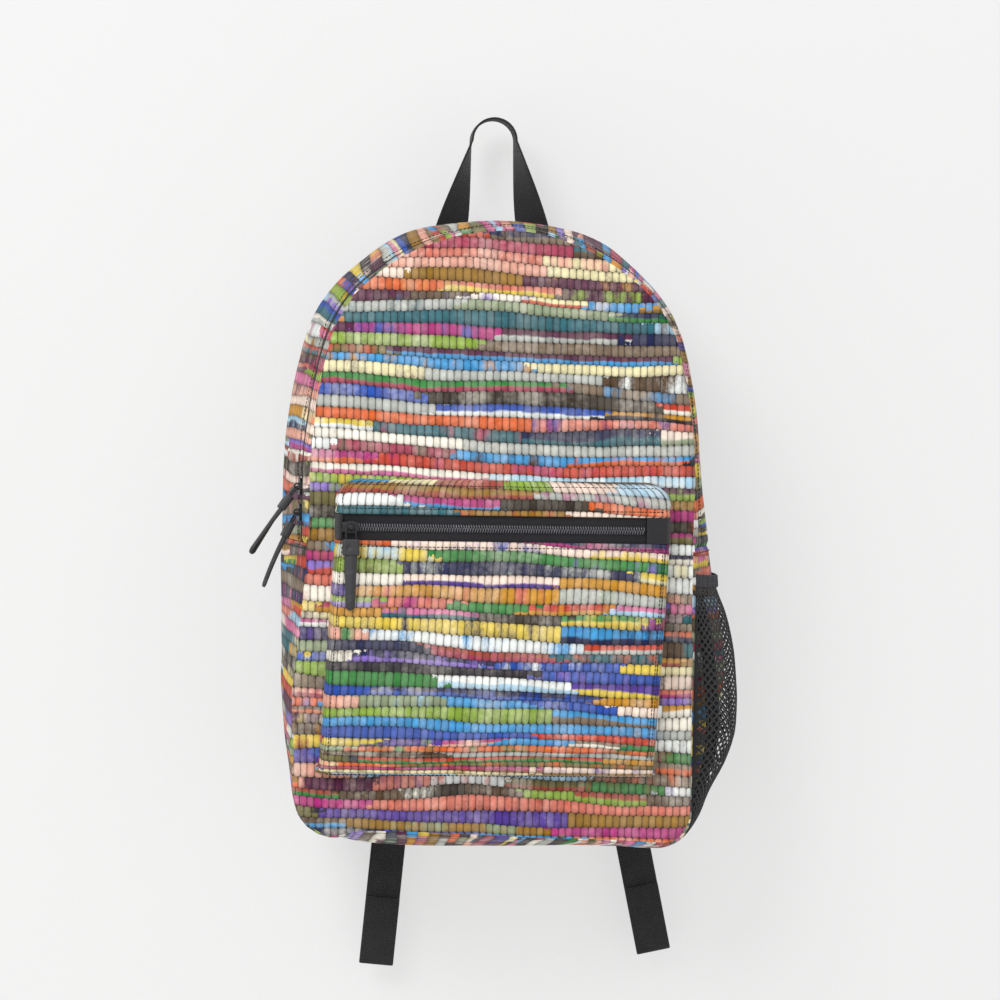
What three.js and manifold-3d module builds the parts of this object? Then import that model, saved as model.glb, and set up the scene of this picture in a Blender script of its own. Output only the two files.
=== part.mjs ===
// A printed daypack hung by its haul loop: a lofted cloth body closed by a long two-slider zip,
// a boxed front pocket with its own zip, one net side pocket, and padded shoulder straps behind.
// Millimetres, +Z up, front towards -Y. The origin is where a hook bears inside the haul loop.
import * as THREE from "three";
import { mergeVertices } from "three/addons/utils/BufferGeometryUtils.js";
import Module from "manifold-3d";

const wasm = await Module();
wasm.setup();

// Body of the bag
const BAG_WIDTH = 300;
const BAG_HEIGHT = 443;
const BAG_DEPTH = 130;
const CORNER_RADIUS = 36;
const SIDE_RADIUS = 420;
const SIDE_SWEEP = 14.5;
const SHOULDER_RADIUS = 96;
const SHOULDER_END = 48.5;
const FRONT_INSET = 15;
const BACK_INSET = 8;
const BACK_ROLL = 15;
const BASE_FLAT = 15;
const TAPER_POWER = 1.3;
const CROWN_EASE_SHARE = 0.4;
const FRONT_BULGE = 12;
const DOME_POWER = 2.5;
const CLOTH = 2.4;
const GAP = 0.3;

// How the soft body hangs: the base sags to the right, the left corner tucks in, the front seam comes
// out to the full width low on the left, and the right side swells at the net's mouth
const BASE_SAG = 8.5;
const SAG_REACH = 210;
const SAG_POWER = 1.5;
const LEFT_TUCK = 14;
const TUCK_REACH = 115;
const TUCK_POWER = 1.2;
const LEFT_SEAM_TOP_Z = 200;
const LEFT_SEAM_LOW_Z = 46;
const SIDE_SWELL = 10.5;
const SWELL_LOW_Z = 60;
const SWELL_HIGH_Z = 280;

// Back panel, yoke and strap anchors
const BACK_PAD = 10;
const BACK_EDGE_ROLL = 8;
const YOKE_WIDTH = 150;
const YOKE_HEIGHT = 30;
const YOKE_TOP_DROP = 28;
const YOKE_CLOTH = 2.5;
const WING_HEIGHT = 34;
const WING_WIDTH = 42;
const WING_CLOTH = 2;

// Zips: one coil, tape and slider size for both
const COIL_WIDTH = 5.6;
const COIL_HEIGHT = 2.2;
const TAPE_CLOTH = 0.8;
const SLIDER_LENGTH = 12;
const SLIDER_PLATE = 1.3;
const FLANGE_WALL = 1;
const EYE_RADIUS = 1.5;
const EYE_WALL = 1;
const EYE_THICKNESS = 2.4;
const BAIL_WIRE = 1.4;
const BAIL_WIDTH = 6.6;
const BAIL_LENGTH = 8;
const PULL_HEAD_WIDTH = 11;
const PULL_HEAD_HEIGHT = 11;
const PULL_HEAD_THICKNESS = 5;
const PULL_LENGTH = 37;
const PULL_WIDTH = 7.6;
const PULL_TIP_WIDTH = 6;
const PULL_THICKNESS = 3;
const PULL_EDGE = 0.5;

// Main zip round the upper gusset
const MAIN_ZIP_Y = -42;
const MAIN_ZIP_OPENING = 10;
const MAIN_TAPE_LAP = 6;
const MAIN_ZIP_RECESS = 0.6;
const ZIP_END_Z = 214;
const UPPER_SLIDER_RISE = 39;
const LOWER_SLIDER_RISE = 21;
const UPPER_PULL_LIFT = 35;
const LOWER_PULL_LIFT = 26;

// Front pocket
const POCKET_WIDTH = 232;
const POCKET_BOTTOM_Z = 57;
const POCKET_HEIGHT = 203;
const POCKET_DEPTH = 11;
const POCKET_BELLY = 6;
const POCKET_LEAN = 9;
const POCKET_CLOTH = 2;
const POCKET_EDGE_RADIUS = 2.2;
const POCKET_FLOOR_RADIUS = 14;
const POCKET_CORNER_RADIUS = 18;
const POCKET_ZIP_DROP = 33;
const POCKET_TAPE_SHOWN = 18;
const POCKET_TAPE_LAP = 5;
const POCKET_ZIP_RECESS = 1;
const LEFT_END_TAB = 4;
const RIGHT_END_TAB = 18;
const ZIP_END_CLOTH = 1.6;
const PULL_REST_LIFT = 6;

// Net side pocket
const NET_TOP_DROP = 27;
const NET_SIDE_MARGIN = 5;
const NET_BULGE = 21;
const NET_MOUTH_SHARE = 0.5;
const NET_FOOT_POWER = 0.98;
const NET_BELLY_POWER = 1.5;
const NET_CLOTH = 1.2;
const NET_ROWS = 18;
const NET_OPEN_SHARE = 0.8;
const BINDING_HEIGHT = 9;
const BINDING_CLOTH = 1.8;

// Webbing, haul loop, ladder locks and shoulder straps
const WEBBING_WIDTH = 25;
const WEBBING_CLOTH = 1.6;
const LOOP_SPREAD = 70;
const LOOP_RISE = 60;
const LOOP_TWIST_DROP = 12;
const LOOP_TWIST_POWER = 0.8;
const LOOP_TOP_RADIUS = 16;
const LOCK_WALL = 3.6;
const LOCK_BAR = 4;
const LOCK_SLOT = 6;
const LOCK_CLEARANCE = 0.6;
const LOCK_CORNER = 3;
const ANCHOR_INSET = 49;
const ANCHOR_Z = 30;
const TAIL_FOLD = 48;
const LEFT_LOCK_INSET = 91;
const LEFT_LOCK_Z = 90;
const LEFT_LEAN_ANGLE = 5;
const LEFT_TAIL = 192;
const RIGHT_LOCK_INSET = 61;
const RIGHT_LOCK_Z = 100;
const RIGHT_LEAN_ANGLE = 12;
const RIGHT_TAIL = 195;
const STRAP_TOP_X = 42;
const STRAP_WIDTH = 60;
const STRAP_END_WIDTH = 36;
const STRAP_PAD = 10;
const STRAP_BOW = 20;

const FRONT_Y = -BAG_DEPTH / 2;
const BACK_Y = BAG_DEPTH / 2;
const FRONT_TAPER = BAG_DEPTH - BACK_ROLL - BASE_FLAT;
const radians = THREE.MathUtils.degToRad;
const lerp = THREE.MathUtils.lerp;
const share = (value) => THREE.MathUtils.clamp(value, 0, 1);

// Solids from grids, rings and booleans

// Closed geometry from points and triangles, turned so that its faces point out.
function solidGeometry(points, triangles) {
  let volume = 0;
  for (const [a, b, c] of triangles) {
    volume += points[a].dot(new THREE.Vector3().crossVectors(points[b], points[c]));
  }
  const faces = volume < 0 ? triangles.map(([a, b, c]) => [a, c, b]) : triangles;
  const geometry = new THREE.BufferGeometry().setFromPoints(points);
  geometry.setIndex(faces.flat());
  geometry.computeVertexNormals();
  return geometry;
}

// A sheet of cloth with thickness, from matching grids of its outer and inner faces.
function sheetSolid(outer, inner) {
  const rows = outer.length;
  const columns = outer[0].length;
  const points = [...outer.flat(), ...inner.flat()];
  const triangles = [];
  const quad = (a, b, c, d) => triangles.push([a, b, c], [a, c, d]);
  const at = (side, row, column) => side * rows * columns + row * columns + column;
  for (let r = 0; r < rows - 1; r += 1) {
    for (let c = 0; c < columns - 1; c += 1) {
      quad(at(0, r, c), at(0, r, c + 1), at(0, r + 1, c + 1), at(0, r + 1, c));
      quad(at(1, r, c), at(1, r + 1, c), at(1, r + 1, c + 1), at(1, r, c + 1));
    }
    quad(at(0, r, 0), at(0, r + 1, 0), at(1, r + 1, 0), at(1, r, 0));
    quad(at(0, r + 1, columns - 1), at(0, r, columns - 1), at(1, r, columns - 1), at(1, r + 1, columns - 1));
  }
  for (let c = 0; c < columns - 1; c += 1) {
    quad(at(0, 0, c + 1), at(0, 0, c), at(1, 0, c), at(1, 0, c + 1));
    quad(at(0, rows - 1, c), at(0, rows - 1, c + 1), at(1, rows - 1, c + 1), at(1, rows - 1, c));
  }
  return solidGeometry(points, triangles);
}

// A solid through convex rings of equal count, with a flat fan at each end.
function loftSolid(rings) {
  const count = rings[0].length;
  const points = rings.flat();
  const triangles = [];
  for (let r = 0; r < rings.length - 1; r += 1) {
    for (let k = 0; k < count; k += 1) {
      const a = r * count + k;
      const b = r * count + ((k + 1) % count);
      triangles.push([a, b, b + count], [a, b + count, a + count]);
    }
  }
  const last = (rings.length - 1) * count;
  for (let k = 1; k < count - 1; k += 1) {
    triangles.push([0, k + 1, k], [last, last + k, last + k + 1]);
  }
  return solidGeometry(points, triangles);
}

// A band of webbing: stations give its centre, direction and the way its width runs.
function ribbonSolid(stations, width, thickness) {
  const rings = stations.map(({ centre, along, across }) => {
    const normal = new THREE.Vector3().crossVectors(along, across).normalize();
    const side = new THREE.Vector3().crossVectors(normal, along).normalize();
    const corner = (w, n) =>
      centre.clone().addScaledVector(side, (w * width) / 2).addScaledVector(normal, (n * thickness) / 2);
    return [corner(-1, -1), corner(1, -1), corner(1, 1), corner(-1, 1)];
  });
  return loftSolid(rings);
}

function toManifold(geometry) {
  const bare = geometry.clone();
  bare.deleteAttribute("normal");
  bare.deleteAttribute("uv");
  const merged = mergeVertices(bare, 1e-4);
  return new wasm.Manifold(
    new wasm.Mesh({
      numProp: 3,
      vertProperties: merged.attributes.position.array,
      triVerts: new Uint32Array(merged.index.array),
    }),
  );
}

function fromManifold(solid) {
  const { vertProperties, triVerts } = solid.getMesh();
  const geometry = new THREE.BufferGeometry();
  geometry.setAttribute("position", new THREE.BufferAttribute(vertProperties, 3));
  geometry.setIndex(new THREE.BufferAttribute(triVerts, 1));
  geometry.computeVertexNormals();
  return geometry;
}

function joined(...geometries) {
  return fromManifold(geometries.map(toManifold).reduce((all, one) => all.add(one)));
}

// Extrudes a flat shape, centred on its own plane.
function plate(shape, thickness, edge = 0) {
  const geometry = new THREE.ExtrudeGeometry(shape, {
    depth: thickness - 2 * edge,
    bevelEnabled: edge > 0,
    bevelThickness: edge,
    bevelSize: edge,
    bevelOffset: -edge,
    bevelSegments: 1,
    curveSegments: 3,
  });
  return geometry.translate(0, 0, edge - thickness / 2);
}

function roundedRectangle(path, left, bottom, right, top, radius) {
  path.moveTo(left + radius, bottom);
  path.lineTo(right - radius, bottom);
  path.absarc(right - radius, bottom + radius, radius, -Math.PI / 2, 0, false);
  path.lineTo(right, top - radius);
  path.absarc(right - radius, top - radius, radius, 0, Math.PI / 2, false);
  path.lineTo(left + radius, top);
  path.absarc(left + radius, top - radius, radius, Math.PI / 2, Math.PI, false);
  path.lineTo(left, bottom + radius);
  path.absarc(left + radius, bottom + radius, radius, Math.PI, 1.5 * Math.PI, false);
  return path;
}

// Outline of the bag, seen from the front, and the surfaces built on it

const HALF_WIDTH = BAG_WIDTH / 2;
const sweep = radians(SIDE_SWEEP);
const shoulderEnd = radians(SHOULDER_END);
const shoulderX = HALF_WIDTH - SIDE_RADIUS + (SIDE_RADIUS - SHOULDER_RADIUS) * Math.cos(sweep);
const shoulderRise = (SIDE_RADIUS - SHOULDER_RADIUS) * Math.sin(sweep);
const crownRadius = SHOULDER_RADIUS + shoulderX / Math.cos(shoulderEnd);
const crownRise = shoulderRise - shoulderX * Math.tan(shoulderEnd);
const springZ = BAG_HEIGHT - crownRise - crownRadius;

// Runs anticlockwise from the middle of the bottom: corner, side, shoulder, crown, and back.
function bagOutline() {
  const path = new THREE.Path();
  const arc = (x, z, radius, start, end) => path.absarc(x, z, radius, start, end, false);
  const corner = HALF_WIDTH - CORNER_RADIUS;
  path.moveTo(0, 0);
  path.lineTo(corner, 0);
  arc(corner, CORNER_RADIUS, CORNER_RADIUS, -Math.PI / 2, 0);
  path.lineTo(HALF_WIDTH, springZ);
  arc(HALF_WIDTH - SIDE_RADIUS, springZ, SIDE_RADIUS, 0, sweep);
  arc(shoulderX, springZ + shoulderRise, SHOULDER_RADIUS, sweep, shoulderEnd);
  arc(0, springZ + crownRise, crownRadius, shoulderEnd, Math.PI - shoulderEnd);
  arc(-shoulderX, springZ + shoulderRise, SHOULDER_RADIUS, Math.PI - shoulderEnd, Math.PI - sweep);
  arc(SIDE_RADIUS - HALF_WIDTH, springZ, SIDE_RADIUS, Math.PI - sweep, Math.PI);
  path.lineTo(-HALF_WIDTH, CORNER_RADIUS);
  arc(-corner, CORNER_RADIUS, CORNER_RADIUS, Math.PI, 1.5 * Math.PI);
  path.lineTo(0, 0);
  return path;
}

const outline = bagOutline();
const outlineLength = outline.getLength();

// The outline as it hangs: the base sags to the right, and the left corner tucks in.
function settled(point) {
  const left = share(0.5 - point.x / BAG_WIDTH);
  const sag = BASE_SAG * (share(1 - point.y / SAG_REACH) * (1 - left)) ** SAG_POWER;
  const tuck = LEFT_TUCK * left * share(1 - point.y / TUCK_REACH) ** TUCK_POWER;
  return new THREE.Vector2(point.x + tuck, point.y - sag);
}

// A point on the outline and its outward normal, by distance from the middle of the bottom.
function outlineAt(distance) {
  const t = THREE.MathUtils.euclideanModulo(distance / outlineLength, 1);
  const tangent = outline.getTangent(t);
  return { point: settled(outline.getPoint(t)), outward: new THREE.Vector2(tangent.y, -tangent.x) };
}

// Distance along the outline to a height on the straight part of the right side.
function sideDistance(z) {
  return HALF_WIDTH - CORNER_RADIUS + (Math.PI / 2) * CORNER_RADIUS + z - CORNER_RADIUS;
}

// How far the gusset comes in from the outline at a depth: it tapers to the front, less so over the
// crown and low on the left, and rolls in at the back.
function insetAt(y, { point, outward }) {
  const front = Math.max(0, FRONT_Y + FRONT_TAPER - y) / FRONT_TAPER;
  const back = Math.max(0, y - BACK_Y + BACK_ROLL) / BACK_ROLL;
  const crown = 1 - CROWN_EASE_SHARE * Math.max(0, outward.y) ** 4;
  const low = share((LEFT_SEAM_TOP_Z - point.y) / (LEFT_SEAM_TOP_Z - LEFT_SEAM_LOW_Z));
  const left = 1 - low * Math.max(0, -outward.x);
  return FRONT_INSET * crown * left * front ** TAPER_POWER + BACK_INSET * back ** 2;
}

// The right side swells between two heights, most in the middle of its depth.
function swellAt(y, { point, outward }) {
  const way = share((point.y - SWELL_LOW_Z) / (SWELL_HIGH_Z - SWELL_LOW_Z));
  const depth = Math.cos((Math.PI * y) / BAG_DEPTH) ** 2;
  return SIDE_SWELL * Math.max(0, outward.x) * depth * Math.sin(Math.PI * way) ** 2;
}

// A point on the gusset, lifted off it by a distance.
function gussetPoint(distance, y, lift = 0) {
  const place = outlineAt(distance);
  const { point, outward } = place;
  const out = lift - insetAt(y, place) + swellAt(y, place);
  return new THREE.Vector3(point.x + outward.x * out, y, point.y + outward.y * out);
}

function between(start, end, steps) {
  return Array.from({ length: steps + 1 }, (_, k) => lerp(start, end, k / steps));
}

function gussetSheet(distances, depths, outerLift, thickness) {
  const grid = (lift) => distances.map((s) => depths.map((y) => gussetPoint(s, y, lift)));
  return sheetSolid(grid(outerLift), grid(outerLift - thickness));
}

// Front panel: a dome over the front seam, as a share of the way from its centre to the seam.
const RIM_STEPS = 48;
const frontRim = between(0, outlineLength, RIM_STEPS).slice(0, -1).map((s) => {
  const place = outlineAt(s);
  return place.point.clone().addScaledVector(place.outward, -insetAt(FRONT_Y, place));
});
const panelCentre = new THREE.Vector2(0, BAG_HEIGHT / 2);

function shareToRim(x, z) {
  const ray = new THREE.Vector2(x, z).sub(panelCentre);
  const length = ray.length();
  if (length < 1e-6) return 0;
  ray.divideScalar(length);
  let reach = 0;
  frontRim.forEach((start, k) => {
    const edge = frontRim[(k + 1) % frontRim.length].clone().sub(start);
    const from = start.clone().sub(panelCentre);
    const across = ray.cross(edge);
    if (Math.abs(across) < 1e-9) return;
    const along = from.cross(ray) / across;
    const distance = from.cross(edge) / across;
    if (distance > 0 && along >= -1e-6 && along <= 1 + 1e-6) reach = Math.max(reach, distance);
  });
  return length / reach;
}

function domeY(share) {
  return FRONT_Y - FRONT_BULGE * (1 - Math.min(1, share) ** DOME_POWER);
}

function frontY(x, z) {
  return domeY(shareToRim(x, z));
}

function frontPanelGeometry() {
  const shares = [1, 0.92, 0.74, 0.42];
  const faces = [0, CLOTH].map((back) => {
    const rings = shares.map((share) =>
      frontRim.map((rim) => {
        const flat = panelCentre.clone().lerp(rim, share);
        return new THREE.Vector3(flat.x, domeY(share) + back, flat.y);
      }),
    );
    return [...rings.flat(), new THREE.Vector3(panelCentre.x, domeY(0) + back, panelCentre.y)];
  });
  const count = frontRim.length;
  const face = faces[0].length;
  const triangles = [];
  for (let k = 0; k < count; k += 1) {
    const next = (k + 1) % count;
    for (let r = 0; r < shares.length - 1; r += 1) {
      const [a, b, c, d] = [r * count + k, r * count + next, (r + 1) * count + next, (r + 1) * count + k];
      triangles.push([a, b, c], [a, c, d]);
      triangles.push([face + a, face + c, face + b], [face + a, face + d, face + c]);
    }
    const inner = (shares.length - 1) * count;
    triangles.push([inner + k, inner + next, face - 1]);
    triangles.push([face + inner + next, face + inner + k, 2 * face - 1]);
    triangles.push([next, k, face + k], [next, face + k, face + next]);
  }
  return solidGeometry(faces.flat(), triangles);
}

function backPanelGeometry() {
  const steps = [
    { inset: BACK_INSET, y: BACK_Y },
    { inset: BACK_INSET, y: BACK_Y + BACK_PAD / 2 },
    { inset: BACK_INSET + BACK_EDGE_ROLL / 3, y: BACK_Y + BACK_PAD * 0.85 },
    { inset: BACK_INSET + BACK_EDGE_ROLL, y: BACK_Y + BACK_PAD },
  ];
  const distances = between(0, outlineLength, RIM_STEPS).slice(0, -1);
  const rings = steps.map(({ inset, y }) =>
    distances.map((s) => {
      const { point, outward } = outlineAt(s);
      return new THREE.Vector3(point.x - outward.x * inset, y, point.y - outward.y * inset);
    }),
  );
  return loftSolid(rings);
}

// Upper gusset in two strips with the zip between them, and the lower gusset under both
const zipEnd = sideDistance(ZIP_END_Z);
const upperRun = between(zipEnd + GAP, outlineLength - zipEnd - GAP, 44);
const gussetFrontEdge = FRONT_Y + CLOTH + GAP;
const gussetBackEdge = BACK_Y - GAP;
const zipFrontLip = MAIN_ZIP_Y - MAIN_ZIP_OPENING / 2;
const zipRearLip = MAIN_ZIP_Y + MAIN_ZIP_OPENING / 2;

function frontStripGeometry() {
  return gussetSheet(upperRun, between(gussetFrontEdge, zipFrontLip, 3), 0, CLOTH);
}

function rearStripGeometry() {
  return gussetSheet(upperRun, between(zipRearLip, gussetBackEdge, 4), 0, CLOTH);
}

// The flat of the base is one long face behind the tapered part. Up the sides the facets match
// those of the net pocket, so that the net lies evenly on them.
const netStart = HALF_WIDTH - CORNER_RADIUS + (Math.PI / 4) * CORNER_RADIUS;
const netEnd = sideDistance(ZIP_END_Z - NET_TOP_DROP);
const netDepths = [
  ...between(FRONT_Y + NET_SIDE_MARGIN, FRONT_Y + FRONT_TAPER, 5),
  BACK_Y - BACK_ROLL,
  BACK_Y - NET_SIDE_MARGIN,
];

function lowerGussetGeometry() {
  const flat = HALF_WIDTH - CORNER_RADIUS;
  const right = [
    ...between(flat, netStart, 3),
    ...between(netStart, netEnd, NET_ROWS / 2).slice(1),
    zipEnd,
  ];
  const distances = [...right.map((s) => -s).reverse(), ...right];
  return gussetSheet(distances, [gussetFrontEdge, ...netDepths, gussetBackEdge], 0, CLOTH);
}

// Main zip: two tapes under the strips, a coil on them, all following the outline
const mainTapeLift = -CLOTH - MAIN_ZIP_RECESS;
const mainCoilLift = mainTapeLift + GAP + COIL_HEIGHT;
const tapeRun = [zipEnd - MAIN_TAPE_LAP, ...upperRun, outlineLength - zipEnd + MAIN_TAPE_LAP];

function mainTapeGeometry(side) {
  const inner = MAIN_ZIP_Y + (side * GAP) / 2;
  const outer = MAIN_ZIP_Y + side * (MAIN_ZIP_OPENING / 2 + MAIN_TAPE_LAP);
  return gussetSheet(tapeRun, [inner, outer], mainTapeLift, TAPE_CLOTH);
}

// The gusset's slope under the zip: the point at the zip's middle and the ways along, across and out.
function zipFrame(distance) {
  const { outward } = outlineAt(distance);
  const place = gussetPoint(distance, MAIN_ZIP_Y);
  const front = gussetPoint(distance, MAIN_ZIP_Y - COIL_WIDTH / 2);
  const across = gussetPoint(distance, MAIN_ZIP_Y + COIL_WIDTH / 2).sub(front).normalize();
  const along = new THREE.Vector3(outward.y, 0, -outward.x);
  return { place, along, across, out: new THREE.Vector3().crossVectors(along, across) };
}

function mainCoilGeometry() {
  const half = COIL_WIDTH / 2;
  const low = mainCoilLift - COIL_HEIGHT;
  const section = [
    [-half, low],
    [half, low],
    [half * 0.7, mainCoilLift],
    [-half * 0.7, mainCoilLift],
  ];
  const rings = upperRun.map((s) => {
    const { place, across, out } = zipFrame(s);
    return section.map(([y, lift]) => place.clone().addScaledVector(across, y).addScaledVector(out, lift));
  });
  return loftSolid(rings);
}

// Slider, bail and pull, in the slider's own frame: X along the coil, Z out of the cloth, with
// Z = 0 at the coil's top

const eyeHeight = GAP + SLIDER_PLATE + EYE_RADIUS;

// A shield-shaped plate with a flange down each side of the coil and an eye for the bail.
function sliderGeometry(eyeTurn) {
  const channel = COIL_WIDTH / 2 + GAP;
  const half = channel + FLANGE_WALL;
  const nose = SLIDER_LENGTH / 2;
  const shield = new THREE.Shape();
  shield.moveTo(-nose, -half * 0.8);
  shield.lineTo(nose - half, -half);
  shield.absarc(nose - half, 0, half, -Math.PI / 2, Math.PI / 2, false);
  shield.lineTo(-nose, half * 0.8);
  const top = plate(shield, SLIDER_PLATE).translate(0, 0, GAP + SLIDER_PLATE / 2);

  const flangeHeight = COIL_HEIGHT + GAP + SLIDER_PLATE;
  const flangeLength = SLIDER_LENGTH - 2 * half;
  const flanges = [-1, 1].map((side) =>
    new THREE.BoxGeometry(flangeLength, FLANGE_WALL, flangeHeight).translate(
      0,
      side * (channel + FLANGE_WALL / 2),
      GAP + SLIDER_PLATE - flangeHeight / 2,
    ),
  );

  const reach = EYE_RADIUS + EYE_WALL;
  const ring = new THREE.Shape();
  ring.moveTo(-reach, -eyeHeight + GAP + SLIDER_PLATE / 2);
  ring.lineTo(reach, -eyeHeight + GAP + SLIDER_PLATE / 2);
  ring.absarc(0, 0, reach, 0, Math.PI, false);
  ring.holes.push(new THREE.Path().absarc(0, 0, EYE_RADIUS, 0, 2 * Math.PI, true));
  const eye = plate(ring, EYE_THICKNESS).rotateX(Math.PI / 2).rotateZ(eyeTurn).translate(0, 0, eyeHeight);
  return joined(top, ...flanges, eye);
}

// Bail and pull hang along -Y from the hinge, which runs along X through the eye.
function bailGeometry() {
  const half = BAIL_WIDTH / 2;
  const bend = BAIL_WIRE;
  const wire = new THREE.CurvePath();
  const at = (x, y) => new THREE.Vector3(x, y, 0);
  wire.add(new THREE.LineCurve3(at(-half, -BAIL_LENGTH), at(-half, -bend)));
  wire.add(new THREE.QuadraticBezierCurve3(at(-half, -bend), at(-half, 0), at(bend - half, 0)));
  wire.add(new THREE.LineCurve3(at(bend - half, 0), at(half - bend, 0)));
  wire.add(new THREE.QuadraticBezierCurve3(at(half - bend, 0), at(half, 0), at(half, -bend)));
  wire.add(new THREE.LineCurve3(at(half, -bend), at(half, -BAIL_LENGTH)));
  const round = Array.from({ length: 6 }, (_, k) => {
    const angle = (k * Math.PI) / 3;
    return [(Math.cos(angle) * BAIL_WIRE) / 2, (Math.sin(angle) * BAIL_WIRE) / 2];
  });
  const outOfPlane = new THREE.Vector3(0, 0, 1);
  const rings = between(0, 1, 16).map((t) => {
    const centre = wire.getPoint(t);
    const side = new THREE.Vector3().crossVectors(wire.getTangent(t), outOfPlane).normalize();
    return round.map(([a, b]) => centre.clone().addScaledVector(side, a).addScaledVector(outOfPlane, b));
  });
  return loftSolid(rings);
}

// One moulding: a block that grips the bail, and a tongue that tapers to a round tip.
function pullGeometry() {
  const headTop = -BAIL_LENGTH - GAP;
  const headBottom = headTop - PULL_HEAD_HEIGHT;
  const half = PULL_HEAD_WIDTH / 2;
  const head = roundedRectangle(new THREE.Shape(), -half, headBottom, half, headTop, 1);
  const tip = PULL_TIP_WIDTH / 2;
  const tongue = new THREE.Shape();
  tongue.moveTo(PULL_WIDTH / 2, headBottom + PULL_EDGE * 4);
  tongue.lineTo(-PULL_WIDTH / 2, headBottom + PULL_EDGE * 4);
  tongue.lineTo(-tip, headBottom - PULL_LENGTH + tip);
  tongue.absarc(0, headBottom - PULL_LENGTH + tip, tip, Math.PI, 2 * Math.PI, false);
  return joined(
    plate(head, PULL_HEAD_THICKNESS, PULL_EDGE),
    plate(tongue, PULL_THICKNESS, PULL_EDGE),
  );
}

// Front pocket: a boxed pouch on the front panel, split by its zip

const pocketHalf = POCKET_WIDTH / 2;
const pocketTopZ = POCKET_BOTTOM_Z + POCKET_HEIGHT;
const pocketZipZ = pocketTopZ - POCKET_ZIP_DROP;
const pocketFaceY = FRONT_Y - FRONT_BULGE - POCKET_DEPTH;
const pocketZipLeft = LEFT_END_TAB - pocketHalf + GAP;
const pocketZipRight = pocketHalf - RIGHT_END_TAB - GAP;
const upperLipZ = pocketZipZ + POCKET_TAPE_SHOWN / 2;
const lowerLipZ = pocketZipZ - POCKET_TAPE_SHOWN / 2;

// Share of the full depth at a distance inside a rolled edge.
function rolled(distance, radius) {
  const short = Math.max(0, 1 - distance / radius);
  return Math.sqrt(Math.max(0, 1 - short ** 2));
}

function acrossPocket(half) {
  const roll = [0, 0.1, 0.4, 1].map((part) => part * POCKET_EDGE_RADIUS);
  const left = roll.map((d) => d - half);
  const flat = between(POCKET_EDGE_RADIUS - half, half - POCKET_EDGE_RADIUS, 8).slice(1, -1);
  return [...left, ...flat, ...roll.map((d) => half - d).reverse()];
}

// A point of the pouch, set in from its outer face by a thickness.
function pouchPoint(x, z, faceY, half, full, inset, lean = 0) {
  const seat = frontY(x - lean, z) - GAP;
  const depth = Math.max(0, seat - faceY - inset) * full * rolled(half - Math.abs(x), POCKET_EDGE_RADIUS);
  return new THREE.Vector3(x - lean, seat - depth, z);
}

// The pouch under the zip, which leans to the left on its way down.
function pocketFrontGeometry() {
  const grid = (inset) => {
    const half = pocketHalf - inset;
    const floor = POCKET_BOTTOM_Z + inset;
    const roll = [1, 0.4, 0.1, 0].map((part) => floor + part * POCKET_FLOOR_RADIUS);
    const heights = [...between(lowerLipZ, floor + POCKET_FLOOR_RADIUS, 7).slice(0, -1), ...roll];
    return heights.map((z) => {
      const way = (lowerLipZ - z) / (lowerLipZ - POCKET_BOTTOM_Z);
      const faceY = pocketFaceY - POCKET_BELLY * Math.sin(Math.PI * way) ** 2;
      const full = rolled(z - floor, POCKET_FLOOR_RADIUS);
      return acrossPocket(half).map((x) => pouchPoint(x, z, faceY, half, full, inset, POCKET_LEAN * way));
    });
  };
  return sheetSolid(grid(0), grid(POCKET_CLOTH));
}

// The strip above the zip: a flat lip over the tape, then a slope back to round top corners.
function pocketTopGeometry() {
  const lipTopZ = upperLipZ + POCKET_TAPE_LAP + POCKET_CLOTH;
  const grid = (inset) => {
    const slope = between(0, 1, 5).map((way) => ({
      z: lerp(lipTopZ, pocketTopZ - inset, way),
      full: 1 - way,
    }));
    return [{ z: upperLipZ, full: 1 }, ...slope].map(({ z, full }) => {
      const past = Math.max(0, z + inset - (pocketTopZ - POCKET_CORNER_RADIUS));
      const cut = POCKET_CORNER_RADIUS - Math.sqrt(Math.max(0, POCKET_CORNER_RADIUS ** 2 - past ** 2));
      const half = pocketHalf - inset - cut;
      return acrossPocket(half).map((x) => pouchPoint(x, z, pocketFaceY, half, full, inset));
    });
  };
  return sheetSolid(grid(0), grid(POCKET_CLOTH));
}

// A cloth tab that closes the pouch at one end of the zip and folds back to the front panel.
function zipEndGeometry(side, tab) {
  const roll = Math.min(POCKET_EDGE_RADIUS, 0.9 * (tab - ZIP_END_CLOTH));
  const distances = [0, 0.1, 0.4, 1].map((part) => part * roll);
  const grid = (inset) => {
    const half = pocketHalf - inset;
    const reach = [...distances, tab - inset].map((d) => side * (half - d));
    return [lowerLipZ + GAP, upperLipZ - GAP].map((z) =>
      reach.map((x) => pouchPoint(x, z, pocketFaceY, half, 1, inset)),
    );
  };
  return sheetSolid(grid(0), grid(ZIP_END_CLOTH));
}

const pocketTapeY = pocketFaceY + POCKET_CLOTH + POCKET_ZIP_RECESS;
const pocketCoilTopY = pocketTapeY - GAP - COIL_HEIGHT;

function pocketTapeGeometry(side) {
  const inner = GAP / 2;
  const height = POCKET_TAPE_SHOWN / 2 + POCKET_TAPE_LAP - inner;
  const length = pocketZipRight - pocketZipLeft;
  return new THREE.BoxGeometry(length, TAPE_CLOTH, height).translate(
    (pocketZipLeft + pocketZipRight) / 2,
    pocketTapeY + TAPE_CLOTH / 2,
    pocketZipZ + side * (inner + height / 2),
  );
}

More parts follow.
